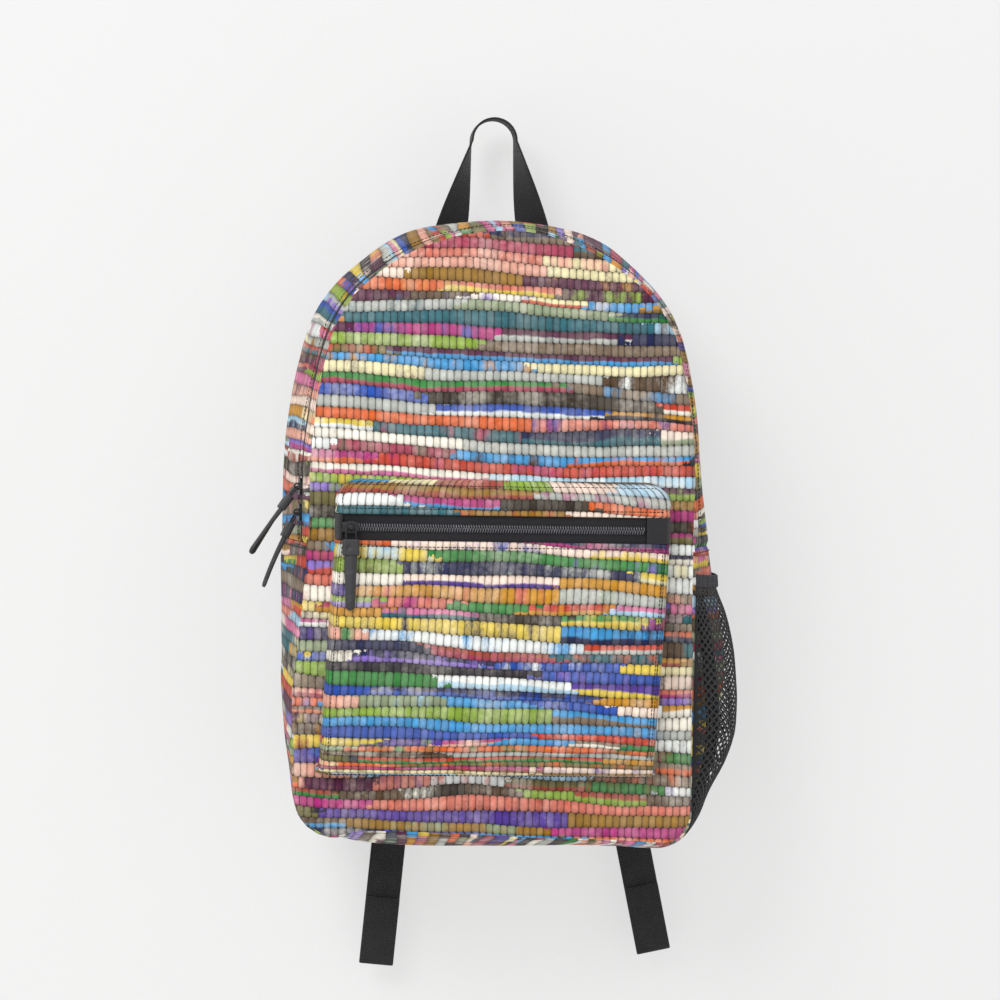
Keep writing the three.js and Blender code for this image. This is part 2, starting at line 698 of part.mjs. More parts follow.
function pocketCoilGeometry() {
  const half = COIL_WIDTH / 2;
  const section = new THREE.Shape();
  section.moveTo(-half, 0);
  section.lineTo(half, 0);
  section.lineTo(half, COIL_HEIGHT / 2);
  section.quadraticCurveTo(half, COIL_HEIGHT, 0, COIL_HEIGHT);
  section.quadraticCurveTo(-half, COIL_HEIGHT, -half, COIL_HEIGHT / 2);
  const length = pocketZipRight - pocketZipLeft;
  const coil = new THREE.ExtrudeGeometry(section, { depth: length, bevelEnabled: false, curveSegments: 4 });
  const turn = new THREE.Matrix4().makeBasis(
    new THREE.Vector3(0, 0, 1),
    new THREE.Vector3(0, -1, 0),
    new THREE.Vector3(1, 0, 0),
  );
  return coil.applyMatrix4(turn).translate(pocketZipLeft, pocketTapeY - GAP, pocketZipZ);
}

// Net side pocket on the right: a bulging diamond net under an elastic binding

const NET_COLUMNS = 2 * (netDepths.length - 1);

function netY(across) {
  const place = across * (netDepths.length - 1);
  const step = Math.min(Math.floor(place), netDepths.length - 2);
  return lerp(netDepths[step], netDepths[step + 1], place - step);
}

function netLift(across, way) {
  const peak = Math.PI - Math.asin(NET_MOUTH_SHARE);
  const belly = Math.sqrt(Math.max(0, 1 - (2 * across - 1) ** 2));
  return GAP + NET_BULGE * belly * Math.sin(peak * way ** NET_FOOT_POWER) ** NET_BELLY_POWER;
}

function netPoint(across, way, inset) {
  const distance = lerp(netStart, netEnd, way);
  return gussetPoint(distance, netY(across), netLift(across, way) + NET_CLOTH - inset);
}

// One closed net: each diamond between four strand crossings has a smaller diamond cut out of it.
function netGeometry() {
  const points = [];
  const triangles = [];
  const numbers = new Map();
  const vertex = (i, j, side) => {
    const key = `${i} ${j} ${side}`;
    if (!numbers.has(key)) {
      numbers.set(key, points.length);
      points.push(netPoint(i / NET_COLUMNS, j / NET_ROWS, side * NET_CLOTH));
    }
    return numbers.get(key);
  };
  const skins = (a, b, c) => {
    triangles.push([vertex(...a, 0), vertex(...b, 0), vertex(...c, 0)]);
    triangles.push([vertex(...a, 1), vertex(...c, 1), vertex(...b, 1)]);
  };
  const wall = (a, b) => {
    triangles.push([vertex(...a, 1), vertex(...b, 1), vertex(...b, 0)]);
    triangles.push([vertex(...a, 1), vertex(...b, 0), vertex(...a, 0)]);
  };
  const diamond = (i, j, reach) => [
    [i - reach, j],
    [i, j - reach],
    [i + reach, j],
    [i, j + reach],
  ];
  for (let i = 0; i <= NET_COLUMNS; i += 1) {
    for (let j = 0; j <= NET_ROWS; j += 1) {
      if ((i + j) % 2 === 0) continue;
      const corners = diamond(i, j, 1);
      if (i === 0) {
        skins(corners[1], corners[2], corners[3]);
        wall(corners[3], corners[1]);
      } else if (i === NET_COLUMNS) {
        skins(corners[0], corners[1], corners[3]);
        wall(corners[1], corners[3]);
      } else if (j === 0) {
        skins(corners[0], corners[2], corners[3]);
        wall(corners[0], corners[2]);
      } else if (j === NET_ROWS) {
        skins(corners[0], corners[1], corners[2]);
        wall(corners[2], corners[0]);
      } else {
        const hole = diamond(i, j, NET_OPEN_SHARE);
        for (let k = 0; k < 4; k += 1) {
          const next = (k + 1) % 4;
          skins(corners[k], corners[next], hole[next]);
          skins(corners[k], hole[next], hole[k]);
          wall(hole[next], hole[k]);
        }
      }
    }
  }
  return solidGeometry(points, triangles);
}

function bindingGeometry() {
  const start = netEnd + GAP;
  const grid = (inset) =>
    [start, start + BINDING_HEIGHT].map((distance) =>
      between(0, 1, NET_COLUMNS).map((across) =>
        gussetPoint(distance, netY(across), netLift(across, 1) + BINDING_CLOTH - inset),
      ),
    );
  return sheetSolid(grid(0), grid(BINDING_CLOTH));
}

// Behind the bag: yoke, haul loop, shoulder straps, ladder locks and webbing

const backFaceY = BACK_Y + BACK_PAD;
const yokeTopZ = BAG_HEIGHT - YOKE_TOP_DROP;
const yokeBottomZ = yokeTopZ - YOKE_HEIGHT;
const loopY = backFaceY + GAP + WEBBING_CLOTH / 2;
const loopCentreZ = BAG_HEIGHT + LOOP_RISE;
const hookZ = loopCentreZ + LOOP_TOP_RADIUS - WEBBING_CLOTH / 2;

function yokeGeometry() {
  const half = YOKE_WIDTH / 2;
  const shape = roundedRectangle(new THREE.Shape(), -half, yokeBottomZ, half, yokeTopZ, YOKE_HEIGHT / 4);
  return plate(shape, YOKE_CLOTH)
    .rotateX(Math.PI / 2)
    .translate(0, backFaceY + GAP + YOKE_CLOTH / 2, 0);
}

// Each leg starts flat on the back panel, leans in, and turns a quarter before it goes over the hook.
function haulLoopGeometry() {
  const foot = LOOP_SPREAD / 2;
  const startZ = yokeTopZ + GAP;
  const twistZ = BAG_HEIGHT - LOOP_TWIST_DROP;
  const lean = Math.atan2(foot - LOOP_TOP_RADIUS, loopCentreZ - startZ);
  const stations = [];
  const leg = between(twistZ, loopCentreZ, 10).map((z) => {
    const way = (z - startZ) / (loopCentreZ - startZ);
    const twist = share((z - twistZ) / (loopCentreZ - twistZ)) ** LOOP_TWIST_POWER;
    return { x: lerp(foot, LOOP_TOP_RADIUS, way), z, turn: (Math.PI / 2) * twist, steep: lean * (1 - way) };
  });
  const station = (side, { x, z, turn, steep }) => ({
    centre: new THREE.Vector3(side * x, loopY, z),
    along: new THREE.Vector3(-side * Math.sin(steep), 0, Math.cos(steep)).multiplyScalar(-side),
    across: new THREE.Vector3(Math.cos(turn), -side * Math.sin(turn), 0),
  });
  const start = { x: foot, z: startZ, turn: 0, steep: 0 };
  stations.push(station(-1, start), ...leg.map((s) => station(-1, s)));
  for (const angle of between(Math.PI, 0, 10).slice(1, -1)) {
    const x = LOOP_TOP_RADIUS * Math.cos(angle);
    const z = loopCentreZ + LOOP_TOP_RADIUS * Math.sin(angle);
    stations.push({
      centre: new THREE.Vector3(x, loopY, z),
      along: new THREE.Vector3(Math.sin(angle), 0, -Math.cos(angle)),
      across: new THREE.Vector3(0, 1, 0),
    });
  }
  const down = [...leg].reverse().map((s) => station(1, s));
  down.push(station(1, start));
  down.forEach((s) => s.across.multiplyScalar(-1));
  stations.push(...down);
  return ribbonSolid(stations, WEBBING_WIDTH, WEBBING_CLOTH);
}

// Strap end, in a frame at the middle of the lock's lower bar: Z up the strap, Y away from the bag
const WRAP_STEPS = 6;
const barReach = (LOCK_BAR * Math.SQRT1_2) / Math.cos(Math.PI / (2 * WRAP_STEPS));
const wrapRadius = barReach + GAP + WEBBING_CLOTH / 2;
const topBarZ = LOCK_BAR * 2 + LOCK_SLOT * 2;
const lockTopZ = topBarZ + LOCK_BAR / 2;
const strapEndZ = lockTopZ + LOCK_SLOT;
const wingOutY = WING_CLOTH + 2 * GAP;
const anchorY = wingOutY + WEBBING_CLOTH / 2;
const lockY = backFaceY + anchorY + wrapRadius;
const webbingAcross = new THREE.Vector3(1, 0, 0);

function ladderLockGeometry() {
  const slotHalf = WEBBING_WIDTH / 2 + LOCK_CLEARANCE;
  const half = slotHalf + LOCK_WALL;
  const frame = roundedRectangle(new THREE.Shape(), -half, -LOCK_BAR / 2, half, lockTopZ, LOCK_CORNER);
  for (const slot of [0, 1]) {
    const low = LOCK_BAR / 2 + slot * (LOCK_BAR + LOCK_SLOT);
    const slotPath = new THREE.Path().setFromPoints([
      new THREE.Vector2(-slotHalf, low),
      new THREE.Vector2(-slotHalf, low + LOCK_SLOT),
      new THREE.Vector2(slotHalf, low + LOCK_SLOT),
      new THREE.Vector2(slotHalf, low),
    ]);
    frame.holes.push(slotPath);
  }
  return plate(frame, LOCK_BAR).rotateX(Math.PI / 2);
}

// Half a turn round a bar, in the YZ plane, from one side of it to the other.
function halfTurn(y, z, radius, start, direction) {
  return between(0, Math.PI, WRAP_STEPS).map((angle) => {
    const turn = start + direction * angle;
    return {
      centre: new THREE.Vector3(0, y + radius * Math.cos(turn), z + radius * Math.sin(turn)),
      along: new THREE.Vector3(0, -direction * Math.sin(turn), direction * Math.cos(turn)),
      across: webbingAcross,
    };
  });
}

function straight(y, from, to) {
  const along = new THREE.Vector3(0, 0, Math.sign(to - from));
  return [from, to].map((z) => ({ centre: new THREE.Vector3(0, y, z), along, across: webbingAcross }));
}

// Up from the anchor, over the lower bar, down as the tail, and folded back on itself at the end.
function webbingGeometry(foot, tail) {
  const foldRadius = WEBBING_CLOTH / 2 + GAP / 2;
  const tailEnd = foldRadius - tail;
  const rise = foot.length() / 3;
  const climb = new THREE.CubicBezierCurve3(
    new THREE.Vector3(foot.x, -wrapRadius, foot.z),
    new THREE.Vector3(foot.x * 0.7, -wrapRadius, foot.z * 0.7),
    new THREE.Vector3(0, -wrapRadius, -LOCK_BAR - rise),
    new THREE.Vector3(0, -wrapRadius, -LOCK_BAR),
  );
  const stations = [
    ...between(0, 1, 8).map((way) => {
      const along = climb.getTangent(way);
      return { centre: climb.getPoint(way), along, across: new THREE.Vector3(along.z, 0, -along.x) };
    }),
    ...halfTurn(0, 0, wrapRadius, Math.PI, -1),
    ...straight(wrapRadius, -LOCK_BAR, tailEnd + WEBBING_WIDTH),
    ...halfTurn(wrapRadius - foldRadius, tailEnd, foldRadius, 0, -1),
    ...straight(wrapRadius - 2 * foldRadius, tailEnd + WEBBING_CLOTH, tailEnd + TAIL_FOLD),
  ];
  return ribbonSolid(stations, WEBBING_WIDTH, WEBBING_CLOTH);
}

// The short loop that holds the lock's top bar to the padded strap.
function lockLoopGeometry() {
  const stations = [
    ...straight(-wrapRadius, strapEndZ - GAP, topBarZ + LOCK_BAR),
    ...halfTurn(0, topBarZ, wrapRadius, Math.PI, 1),
    ...straight(wrapRadius, topBarZ + LOCK_BAR, strapEndZ - GAP),
  ];
  return ribbonSolid(stations, WEBBING_WIDTH, WEBBING_CLOTH);
}

// A cloth wing sewn flat on the back panel, under the foot of the webbing, along +Z from it.
function wingGeometry() {
  const half = WING_WIDTH / 2;
  const shape = new THREE.Shape();
  shape.moveTo(-half, 0);
  shape.lineTo(half, 0);
  shape.lineTo(WEBBING_WIDTH / 2, WING_HEIGHT);
  shape.lineTo(-WEBBING_WIDTH / 2, WING_HEIGHT);
  return plate(shape, WING_CLOTH).rotateX(Math.PI / 2);
}

// Padded strap from the yoke down to the lock loop, bowed away from the back.
function strapGeometry(side, lockX, lockZ, lean) {
  const topY = backFaceY + GAP + STRAP_PAD / 2;
  const end = new THREE.Vector3(
    side * (lockX - strapEndZ * Math.sin(lean)),
    lockY,
    lockZ + strapEndZ * Math.cos(lean),
  );
  const topZ = yokeBottomZ - GAP;
  const drop = topZ - end.z;
  const out = new THREE.Vector3(side * STRAP_TOP_X * 1.1, topY + STRAP_BOW, topZ - drop * 0.38);
  const curve = new THREE.CubicBezierCurve3(
    new THREE.Vector3(side * STRAP_TOP_X, topY, topZ),
    out,
    new THREE.Vector3(end.x - side * drop * 0.3 * Math.sin(lean), end.y + STRAP_BOW, end.z + drop * 0.34),
    end,
  );
  const ends = [new THREE.Vector3(0, 0, -1), new THREE.Vector3(side * Math.sin(lean), 0, -Math.cos(lean))];
  const section = roundSection(10);
  const rings = between(0, 1, 11).map((way) => {
    const centre = curve.getPoint(way);
    const along = ends[way] ?? curve.getTangent(way);
    const normal = new THREE.Vector3().crossVectors(along, webbingAcross).normalize();
    const across = new THREE.Vector3().crossVectors(normal, along).normalize();
    const width = lerp(STRAP_WIDTH, STRAP_END_WIDTH, way ** 1.5);
    return section.map(([a, b]) =>
      centre.clone().addScaledVector(across, (a * width) / 2).addScaledVector(normal, (b * STRAP_PAD) / 2),
    );
  });
  return loftSolid(rings);
}

// A flat oval of unit half-width and half-thickness, with round ends.
function roundSection(count) {
  const power = 0.45;
  return Array.from({ length: count }, (_, k) => {
    const angle = ((k + 0.5) * 2 * Math.PI) / count;
    const soft = (v) => Math.sign(v) * Math.abs(v) ** power;
    return [soft(Math.cos(angle)), soft(Math.sin(angle))];
  });
}

// Materials

function material(color, roughness, metalness = 0) {
  return new THREE.MeshStandardMaterial({ color, roughness, metalness });
}
const printed = material(0xb07a6a, 0.85);
const blackCloth = material(0x1c1c1e, 0.9);
const webbing = material(0x202022, 0.8);
const coilPlastic = material(0x161618, 0.5);
const blackMetal = material(0x1a1a1c, 0.4, 0.8);
const rubber = material(0x242426, 0.6);
const lockPlastic = material(0x18181a, 0.45);
const netCloth = material(0x141416, 0.85);

// Assembly

const daypack = new THREE.Group();
daypack.position.set(0, -loopY, -hookZ);

function piece(name, geometry, finish, parent = daypack) {
  const mesh = new THREE.Mesh(geometry, finish);
  mesh.name = name;
  parent.add(mesh);
  return mesh;
}

piece("front_panel", frontPanelGeometry(), printed);
piece("gusset_front_strip", frontStripGeometry(), printed);
piece("gusset_rear_strip", rearStripGeometry(), printed);
piece("lower_gusset", lowerGussetGeometry(), printed);
piece("back_panel", backPanelGeometry(), blackCloth);

piece("main_zip_tape_front", mainTapeGeometry(-1), blackCloth);
piece("main_zip_tape_rear", mainTapeGeometry(1), blackCloth);
piece("main_zip_coil", mainCoilGeometry(), coilPlastic);

piece("pocket_front_panel", pocketFrontGeometry(), printed);
piece("pocket_top_panel", pocketTopGeometry(), printed);
piece("pocket_zip_tape_upper", pocketTapeGeometry(1), blackCloth);
piece("pocket_zip_tape_lower", pocketTapeGeometry(-1), blackCloth);
piece("pocket_zip_coil", pocketCoilGeometry(), coilPlastic);
piece("pocket_zip_end_left", zipEndGeometry(-1, LEFT_END_TAB), blackCloth);
piece("pocket_zip_end_right", zipEndGeometry(1, RIGHT_END_TAB), blackCloth);

// A slider with its bail and pull. The holder puts the slider's frame on the zip; the hang group
// turns the pull from the slider's frame to the way it hangs.
function zipSlider(name, holder, eyeTurn, hangTurn, lift) {
  piece(`${name}_slider`, sliderGeometry(eyeTurn), blackMetal, holder);
  const hinge = new THREE.Group();
  hinge.position.set(0, 0, eyeHeight);
  hinge.rotation.z = hangTurn;
  const hang = new THREE.Group();
  hang.rotation.x = -lift;
  hinge.add(hang);
  holder.add(hinge);
  piece(`${name}_bail`, bailGeometry(), blackMetal, hang);
  piece(`${name}_pull`, pullGeometry(), rubber, hang);
}

// The pocket's slider rides at the left end of its coil, with the eye along the zip.
const pocketSlider = new THREE.Group();
pocketSlider.position.set(pocketZipLeft + SLIDER_LENGTH * 0.52, pocketCoilTopY, pocketZipZ);
pocketSlider.rotation.x = Math.PI / 2;
daypack.add(pocketSlider);
zipSlider("pocket_zip", pocketSlider, Math.PI / 2, 0, radians(PULL_REST_LIFT));

// The two main sliders meet low on the left side, with their eyes across the zip.
function sideSlider(name, rise, lift) {
  const distance = outlineLength - zipEnd - rise;
  const { place, along, across, out } = zipFrame(distance);
  const holder = new THREE.Group();
  holder.quaternion.setFromRotationMatrix(new THREE.Matrix4().makeBasis(along, across, out));
  holder.position.copy(place).addScaledVector(out, mainCoilLift);
  daypack.add(holder);
  zipSlider(name, holder, 0, -Math.PI / 2, radians(lift));
}
sideSlider("main_zip_upper", UPPER_SLIDER_RISE, UPPER_PULL_LIFT);
sideSlider("main_zip_lower", LOWER_SLIDER_RISE, LOWER_PULL_LIFT);

piece("side_net", netGeometry(), netCloth);
piece("side_net_binding", bindingGeometry(), blackCloth);

piece("strap_yoke", yokeGeometry(), blackCloth);
piece("haul_loop", haulLoopGeometry(), webbing);

const anchorX = HALF_WIDTH - ANCHOR_INSET;

function strapSet(name, side, lockX, lockZ, leanDegrees, tail) {
  const lean = radians(leanDegrees);
  const strapEnd = new THREE.Group();
  strapEnd.position.set(side * lockX, lockY, lockZ);
  strapEnd.rotation.y = -side * lean;
  daypack.add(strapEnd);
  const toAnchor = new THREE.Vector3(side * (anchorX - lockX), 0, ANCHOR_Z - lockZ);
  const foot = toAnchor.clone().applyEuler(new THREE.Euler(0, side * lean, 0));
  piece(`ladder_lock_${name}`, ladderLockGeometry(), lockPlastic, strapEnd);
  piece(`strap_webbing_${name}`, webbingGeometry(foot, tail), webbing, strapEnd);
  piece(`lock_loop_${name}`, lockLoopGeometry(), webbing, strapEnd);

  const wing = piece(`strap_wing_${name}`, wingGeometry(), blackCloth);
  wing.position.set(side * anchorX, backFaceY + GAP + WING_CLOTH / 2, ANCHOR_Z);
  wing.rotation.y = Math.atan2(-toAnchor.x, -toAnchor.z);
  piece(`shoulder_strap_${name}`, strapGeometry(side, lockX, lockZ, lean), blackCloth);
}
strapSet("left", -1, HALF_WIDTH - LEFT_LOCK_INSET, LEFT_LOCK_Z, LEFT_LEAN_ANGLE, LEFT_TAIL);
strapSet("right", 1, HALF_WIDTH - RIGHT_LOCK_INSET, RIGHT_LOCK_Z, RIGHT_LEAN_ANGLE, RIGHT_TAIL);

export default daypack;
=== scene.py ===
"""A printed cloth daypack that hangs by its haul loop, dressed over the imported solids.

Lengths are millimetres in the bag's own frame: x to the right seen from the front, y to the back,
z up from the middle of the base. at() turns them into metres in the frame of the solids.
"""

import math

import bmesh
import bpy
import numpy as np
from mathutils import Matrix, Vector, noise


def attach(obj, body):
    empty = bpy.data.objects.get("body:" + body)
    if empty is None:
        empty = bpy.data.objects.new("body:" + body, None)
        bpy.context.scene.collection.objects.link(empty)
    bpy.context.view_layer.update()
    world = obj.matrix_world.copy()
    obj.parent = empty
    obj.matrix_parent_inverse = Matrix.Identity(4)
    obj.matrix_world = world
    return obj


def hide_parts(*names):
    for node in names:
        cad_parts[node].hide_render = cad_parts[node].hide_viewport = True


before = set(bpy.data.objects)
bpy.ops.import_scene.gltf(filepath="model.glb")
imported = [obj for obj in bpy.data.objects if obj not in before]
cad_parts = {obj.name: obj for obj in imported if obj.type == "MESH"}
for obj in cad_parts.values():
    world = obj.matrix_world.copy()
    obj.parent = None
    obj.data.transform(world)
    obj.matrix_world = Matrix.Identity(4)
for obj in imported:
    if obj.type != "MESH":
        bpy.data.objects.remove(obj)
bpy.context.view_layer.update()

# Sizes shared with the solids
BAG_WIDTH = 300
BAG_HEIGHT = 443
BAG_DEPTH = 130
CORNER_RADIUS = 36
SIDE_RADIUS = 420
SIDE_SWEEP = math.radians(14.5)
SHOULDER_RADIUS = 96
SHOULDER_END = math.radians(48.5)
FRONT_INSET = 15
BACK_INSET = 8
BACK_ROLL = 15
BASE_FLAT = 15
FRONT_TAPER = BAG_DEPTH - BACK_ROLL - BASE_FLAT
TAPER_POWER = 1.3
CROWN_EASE = 0.4
FRONT_BULGE = 12
DOME_POWER = 2.5
CLOTH = 2.4
GAP = 0.3
BACK_PAD = 10
FRONT_Y = -BAG_DEPTH / 2
BACK_Y = BAG_DEPTH / 2
BACK_FACE_Y = BACK_Y + BACK_PAD

# How the soft body hangs: it sags to the right, tucks in at the left and swells at the net's mouth
BASE_SAG = 8.5
SAG_REACH = 210
SAG_POWER = 1.5
LEFT_TUCK = 14
TUCK_REACH = 115
TUCK_POWER = 1.2
LEFT_SEAM_TOP_Z = 200
LEFT_SEAM_LOW_Z = 46
SIDE_SWELL = 10.5
SWELL_LOW_Z = 60
SWELL_HIGH_Z = 280

# Zips and their pulls
ZIP_Y = -42
ZIP_OPENING = 10
ZIP_END_Z = 214
TAPE_LAP = 6
TAPE_CLOTH = 0.8
TAPE_LIFT = -3
COIL_WIDTH = 5.6
COIL_HEIGHT = 2.2
COIL_TOP_LIFT = TAPE_LIFT + GAP + COIL_HEIGHT
EYE_HEIGHT = 3.1
UPPER_SLIDER_RISE = 39
LOWER_SLIDER_RISE = 21
UPPER_PULL_LIFT = math.radians(35)
LOWER_PULL_LIFT = math.radians(26)
POCKET_PULL_LIFT = math.radians(6)
BAIL_LENGTH = 8
PULL_HEAD_WIDTH = 11.8
PULL_HEAD_HEIGHT = 11
PULL_HEAD_THICKNESS = 5
PULL_LENGTH = 37.5
PULL_WIDTH = 8.6
PULL_TIP_WIDTH = 6.6
PULL_THICKNESS = 3.2

# Front pocket
POCKET_HALF = 116
POCKET_BOTTOM_Z = 57
POCKET_TOP_Z = 260
POCKET_ZIP_Z = 227
POCKET_LIP = 9
POCKET_FACE_Y = -88
POCKET_BELLY = 6
POCKET_LEAN = 9
POCKET_CLOTH = 2
POCKET_EDGE_RADIUS = 5
POCKET_FLOOR_RADIUS = 13
POCKET_CORNER_RADIUS = 18
POCKET_TAPE_Y = -85
POCKET_TAPE_LAP = 5
POCKET_COIL_Y = POCKET_TAPE_Y - GAP - COIL_HEIGHT
LEFT_TAB = 4
RIGHT_TAB = 18
POCKET_ZIP_LEFT = LEFT_TAB + GAP - POCKET_HALF
POCKET_ZIP_RIGHT = POCKET_HALF - RIGHT_TAB - GAP
POCKET_SLIDER_X = POCKET_ZIP_LEFT + 6.24
TAB_CLOTH = 1.6

# Net pocket: how far the net stands out by the share of the way up it
NET_TOP_Z = 187
NET_SIDE_MARGIN = 5
NET_WAYS = (0, 0.1, 0.21, 0.32, 0.43, 0.56, 0.75, 0.91, 1)
NET_LIFTS = (0, 2.5, 9.5, 21.5, 27.5, 25.5, 17.5, 8.5, 1.2)
NET_MOUTH_SAG = 3
NET_CLOTH = 0.6
BINDING_HEIGHT = 9
BINDING_CLOTH = 1.8

# Webbing and straps
WEBBING_WIDTH = 25
WEBBING_CLOTH = 1.6
LOOP_FOOT_X = 35
LOOP_RISE = 60
LOOP_TWIST_Z = BAG_HEIGHT - 12
LOOP_TWIST_POWER = 0.8
LOOP_RADIUS = 16
YOKE_TOP_Z = 415
YOKE_BOTTOM_Z = 385
YOKE_CLOTH = 2.5
LOCK_BAR = 4
TOP_BAR_Z = 20
STRAP_END_Z = 28
WRAP_RADIUS = 4.03
TAIL_FOLD = 48
ANCHOR_X = 101
ANCHOR_Z = 30
STRAP_TOP_X = 42
STRAP_WIDTH = 60
STRAP_END_WIDTH = 36
STRAP_PAD = 10
STRAP_BOW = 20
LOCK_Y = BACK_FACE_Y + 3.4 + WRAP_RADIUS
STRAP_SETS = (
    {"name": "left", "side": -1, "x": 59, "z": 90, "lean": math.radians(5), "tail": 192},
    {"name": "right", "side": 1, "x": 89, "z": 100, "lean": math.radians(12), "tail": 195},
)

LOOP_Y = BACK_FACE_Y + GAP + WEBBING_CLOTH / 2
HOOK_Z = BAG_HEIGHT + LOOP_RISE + LOOP_RADIUS - WEBBING_CLOTH / 2
ORIGIN = np.array((0, LOOP_Y, HOOK_Z))
BAG_CENTRE = np.array((0, 0, BAG_HEIGHT / 2))


def at(points):
    """Bag millimetres to metres in the frame of the solids."""
    return (np.asarray(points, float) - ORIGIN) / 1000


def spread(*parts):
    """Coordinates that fit each other, as one array of points or UVs."""
    return np.stack(np.broadcast_arrays(*parts), axis=-1)


def bump(distance, width):
    """1 at no distance, and close to 0 from two widths on."""
    return np.exp(-((distance / width) ** 2))


# Outline of the bag, seen from the front


def line(x, z, dx, dz, length):
    return length, lambda s: (x + dx * s, z + dz * s, dz, -dx)


def arc(x, z, radius, start, end):
    def point(s):
        turn = start + s / radius
        return x + radius * math.cos(turn), z + radius * math.sin(turn), math.cos(turn), math.sin(turn)

    return radius * (end - start), point


HALF_WIDTH = BAG_WIDTH / 2
BASE_HALF = HALF_WIDTH - CORNER_RADIUS
SHOULDER_X = HALF_WIDTH - SIDE_RADIUS + (SIDE_RADIUS - SHOULDER_RADIUS) * math.cos(SIDE_SWEEP)
SHOULDER_RISE = (SIDE_RADIUS - SHOULDER_RADIUS) * math.sin(SIDE_SWEEP)
CROWN_RADIUS = SHOULDER_RADIUS + SHOULDER_X / math.cos(SHOULDER_END)
CROWN_RISE = SHOULDER_RISE - SHOULDER_X * math.tan(SHOULDER_END)
SPRING_Z = BAG_HEIGHT - CROWN_RISE - CROWN_RADIUS
SPANS = (
    line(0, 0, 1, 0, BASE_HALF),
    arc(BASE_HALF, CORNER_RADIUS, CORNER_RADIUS, -math.pi / 2, 0),
    line(HALF_WIDTH, CORNER_RADIUS, 0, 1, SPRING_Z - CORNER_RADIUS),
    arc(HALF_WIDTH - SIDE_RADIUS, SPRING_Z, SIDE_RADIUS, 0, SIDE_SWEEP),
    arc(SHOULDER_X, SPRING_Z + SHOULDER_RISE, SHOULDER_RADIUS, SIDE_SWEEP, SHOULDER_END),
    arc(0, SPRING_Z + CROWN_RISE, CROWN_RADIUS, SHOULDER_END, math.pi / 2),
)
HALF_LENGTH = sum(length for length, _ in SPANS)
OUTLINE_LENGTH = 2 * HALF_LENGTH


def settled(x, z):
    """The outline as it hangs: the base sags to the right, and the left corner tucks in."""
    left = min(1, max(0, 0.5 - x / BAG_WIDTH))
    sag = BASE_SAG * (max(0, 1 - z / SAG_REACH) * (1 - left)) ** SAG_POWER
    tuck = LEFT_TUCK * left * max(0, 1 - z / TUCK_REACH) ** TUCK_POWER
    return x + tuck, z - sag


def outline_at(distance):
    """Point and outward normal (x, z, nx, nz), by distance round from the middle of the bottom."""
    s = distance % OUTLINE_LENGTH
    side = 1
    if s > HALF_LENGTH:
        s = OUTLINE_LENGTH - s
        side = -1
    for length, point in SPANS:
        if s <= length:
            break
        s -= length
    else:
        s = length
    x, z, nx, nz = point(s)
    return *settled(side * x, z), side * nx, nz


def outline(distances):
    return np.array([outline_at(s) for s in distances])


def side_distance(z):
    return BASE_HALF + CORNER_RADIUS * math.pi / 2 + z - CORNER_RADIUS


def inset_at(y, ring):
    """How far the gusset comes in: it tapers to the front, less over the crown and low on the left."""
    z, nx, nz = ring[:, 1:2], ring[:, 2:3], ring[:, 3:4]
    front = np.maximum(0, FRONT_Y + FRONT_TAPER - y) / FRONT_TAPER
    back = np.maximum(0, y - BACK_Y + BACK_ROLL) / BACK_ROLL
    crown = 1 - CROWN_EASE * np.maximum(0, nz) ** 4
    low = np.clip((LEFT_SEAM_TOP_Z - z) / (LEFT_SEAM_TOP_Z - LEFT_SEAM_LOW_Z), 0, 1)
    left = 1 - low * np.maximum(0, -nx)
    return FRONT_INSET * crown * left * front**TAPER_POWER + BACK_INSET * back**2


def swell_at(y, ring):
    """The right side swells between two heights, most in the middle of its depth."""
    way = np.clip((ring[:, 1:2] - SWELL_LOW_Z) / (SWELL_HIGH_Z - SWELL_LOW_Z), 0, 1)
    depth = np.cos(math.pi * y / BAG_DEPTH) ** 2
    return SIDE_SWELL * np.maximum(0, ring[:, 2:3]) * depth * np.sin(math.pi * way) ** 2


def gusset(distances, depths, lift=0):
    """Points over the gusset: rows along the outline, columns across the depth."""
    ring = outline(distances)
    depths = np.asarray(depths, float)
    out = lift - inset_at(depths, ring) + swell_at(depths, ring)
    return spread(ring[:, :1] + ring[:, 2:3] * out, depths, ring[:, 1:2] + ring[:, 3:4] * out)


RIM_POINTS = 260
RIM_DISTANCES = np.linspace(0, OUTLINE_LENGTH, RIM_POINTS, endpoint=False)
RIM_RING = outline(RIM_DISTANCES)
PANEL_CENTRE = np.array((0, BAG_HEIGHT / 2))
RIM_RAYS = RIM_RING[:, :2] - inset_at(FRONT_Y, RIM_RING) * RIM_RING[:, 2:] - PANEL_CENTRE
RIM_REACH = np.hypot(RIM_RAYS[:, 0], RIM_RAYS[:, 1])
RIM_ANGLE = np.arctan2(RIM_RAYS[:, 1], RIM_RAYS[:, 0])


def dome_y(share):
    return FRONT_Y - FRONT_BULGE * (1 - np.minimum(1, share) ** DOME_POWER)


def front_y(x, z):
    """The front panel's face, as a dome by the share of the way to its seam."""
    rise = z - PANEL_CENTRE[1]
    reach = np.interp(np.arctan2(rise, x), RIM_ANGLE, RIM_REACH, period=2 * math.pi)
    return dome_y(np.hypot(x, rise) / reach)


def rolled(distance, radius):
    """Share of the full depth at a distance inside a rolled edge."""
    short = np.maximum(0, 1 - np.asarray(distance, float) / radius)
    return np.sqrt(np.maximum(0, 1 - short**2))


# Meshes

MERGE = 1e-6
SHARP_ANGLE = 50
TINY = 1e-9


def linked(name, data):
    obj = bpy.data.objects.new(name, data)
    bpy.context.scene.collection.objects.link(obj)
    return obj


